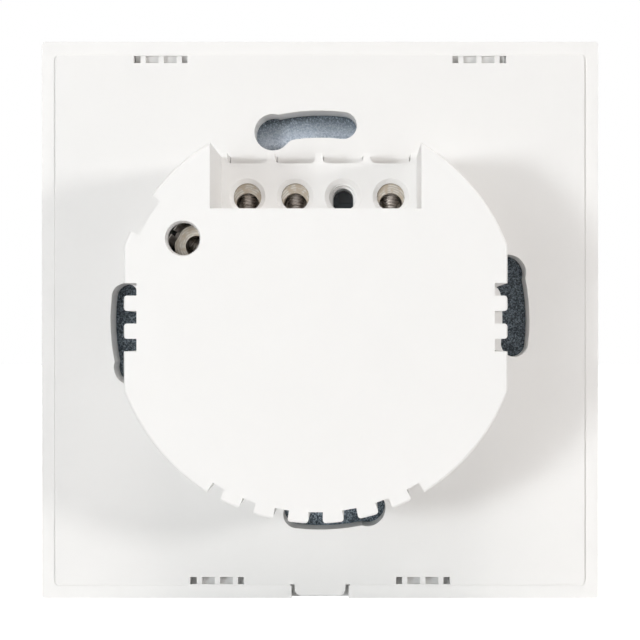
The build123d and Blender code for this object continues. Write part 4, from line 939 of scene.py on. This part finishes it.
def relay_coils():
    """Wire turns on a bobbin: radius swells by a cosine for each turn between two flanges, round the bore."""
    height = np.linspace(0.55, 7.95, 100)
    wire = np.stack([3.28 + 0.14 * np.cos(2 * np.pi * height / WIRE_PITCH), height], -1)
    flange_low = [(1.4, 0.02), (3.6, 0.02), (3.7, 0.1), (3.7, 0.45), (3.6, 0.53)]
    flange_high = [(3.6, 7.97), (3.7, 8.05), (3.7, 8.4), (3.6, 8.48), (1.4, 8.48)]
    profile = np.concatenate([flange_low, wire, flange_high])
    for side, x in RELAYS:
        shell = Shell()
        lathe(shell, profile, (x, COIL_Y, COIL_Z), ALONG_DEPTH, 36, closed=True)
        name = f"relay_{side}_wound_coil"
        shell.make(name, "switch_base", "copper_coil", [f"relay_{side}_coil"], smooth=60)


def relay_covers():
    """Open box: outer rounded rectangles up to the lid, then the inner ones back down to the board."""
    sections = (*COVER_OUTER, COVER_TOP, COVER_CEILING, *COVER_INNER)
    for side, x in RELAYS:
        shell = Shell()
        shell.grid(stacked_loops(sections, (x, COVER_Z)), ring_rows=True)
        shell.make(f"relay_{side}_cover", "switch_base", "relay_case_blue", [f"relay_{side}_case"], smooth=35)


dress_nodes()
clamp_screws()
glass_pane()
snap_ledges()
dust_lip()
board_screws()
foam_rings()
indicator_lenses()
radio_can()
radio_antenna()
touch_controller()
capacitors()
transformer_coil()
dipped_parts()
filter_drum()
flat_packages()
soldered_legs()
connector_halves()
relay_coils()
relay_covers()


# Light, floor and camera
LAMP_DISTANCE = 0.8
COOL, MILD, WARM = (0.95, 0.985, 1.0), (1.0, 0.985, 0.965), (1.0, 0.93, 0.90)
# Name, tilt off the photo's axis, turn round it from the photo's right, watts, size, colour
LAMPS = (
    ("left_lamp", 33, 180, 2.03, 0.12, COOL),
    ("left_softbox", 28, 172, 1.25, 0.35, COOL),
    ("right_lamp", 45, 10, 1.66, 0.1, MILD),
    ("low_right_softbox", 65, 22, 0.5, 0.35, MILD),
    ("upper_front_softbox", 50, 90, 0.72, 0.35, MILD),
    ("top_softbox", 80, 90, 2.35, 0.35, WARM),
    ("top_left_softbox", 80, 115, 0.5, 0.35, WARM),
    ("upper_right_lamp", 80, 61, 0.4, 0.03, WARM),
    ("room_left_softbox", 145, 168, 0.4, 0.35, COOL),
    ("room_right_softbox", 145, 12, 0.4, 0.35, COOL),
)
ROOM_LIGHT = 0.01
FLOOR_Z = -0.0434
FLOOR_SIZE = 4.0


def softbox(name, tilt, turn, power, size, colour):
    """Square lamp aimed at the switch, tilted off the photo's axis and turned round it from its right."""
    tilt, turn = math.radians(tilt), math.radians(turn)
    away = Vector((-math.sin(tilt) * math.cos(turn), math.cos(tilt), math.sin(tilt) * math.sin(turn)))
    data = bpy.data.lights.new(name, "AREA")
    data.shape, data.size, data.energy, data.color = "SQUARE", size, power, colour
    lamp = bpy.data.objects.new(name, data)
    lamp.location = away * LAMP_DISTANCE
    lamp.rotation_euler = away.to_track_quat("Z", "Y").to_euler()
    bpy.context.scene.collection.objects.link(lamp)


def white_to_eye(tree, dim):
    """Strength 1 to the camera, glossy and clear rays, and the lighting strength to the rest."""
    path = tree.nodes.new("ShaderNodeLightPath").outputs
    either = maths(tree, "MAXIMUM", path["Is Camera Ray"], path["Is Glossy Ray"])
    strength = tree.nodes.new("ShaderNodeMapRange")
    strength.inputs["To Min"].default_value = dim
    strength.inputs["To Max"].default_value = 1.0
    any_of = maths(tree, "MAXIMUM", either, path["Is Transmission Ray"])
    tree.links.new(any_of, strength.inputs["Value"])
    return strength.outputs["Result"]


def studio():
    """White world, pale floor, the softboxes and the photo's camera."""
    world = bpy.data.worlds.new("white_room")
    bpy.context.scene.world = world
    world.use_nodes = True
    tree = world.node_tree
    sky = tree.nodes["Background"]
    sky.inputs["Color"].default_value = (1, 1, 1, 1)
    tree.links.new(white_to_eye(tree, ROOM_LIGHT), sky.inputs["Strength"])

    bpy.ops.mesh.primitive_plane_add(size=FLOOR_SIZE, location=(0, 0, FLOOR_Z))
    floor = bpy.context.object
    floor.name = "pale_floor"
    material, tree, shader, _ = new_material("pale_floor")
    shader.inputs["Base Color"].default_value = (0.8, 0.8, 0.8, 1)
    shader.inputs["Roughness"].default_value = 0.9
    shader.inputs["Emission Color"].default_value = (1, 1, 1, 1)
    tree.links.new(white_to_eye(tree, ROOM_LIGHT), shader.inputs["Emission Strength"])
    floor.data.materials.append(material)

    for lamp in LAMPS:
        softbox(*lamp)

    data = bpy.data.cameras.new("photo_camera")
    data.sensor_width = SENSOR_WIDTH
    data.lens = SENSOR_WIDTH * FOCAL_PX / PHOTO_PX
    data.shift_x = 0.5 - AXIS_PX[0] / PHOTO_PX
    data.shift_y = AXIS_PX[1] / PHOTO_PX - 0.5
    camera = bpy.data.objects.new("photo_camera", data)
    camera.location = [c * MM for c in CAMERA_MM]
    camera.rotation_euler = (math.radians(90), 0, math.radians(180))
    bpy.context.scene.collection.objects.link(camera)
    bpy.context.scene.camera = camera
    bpy.context.scene.view_settings.view_transform = "Standard"


studio()
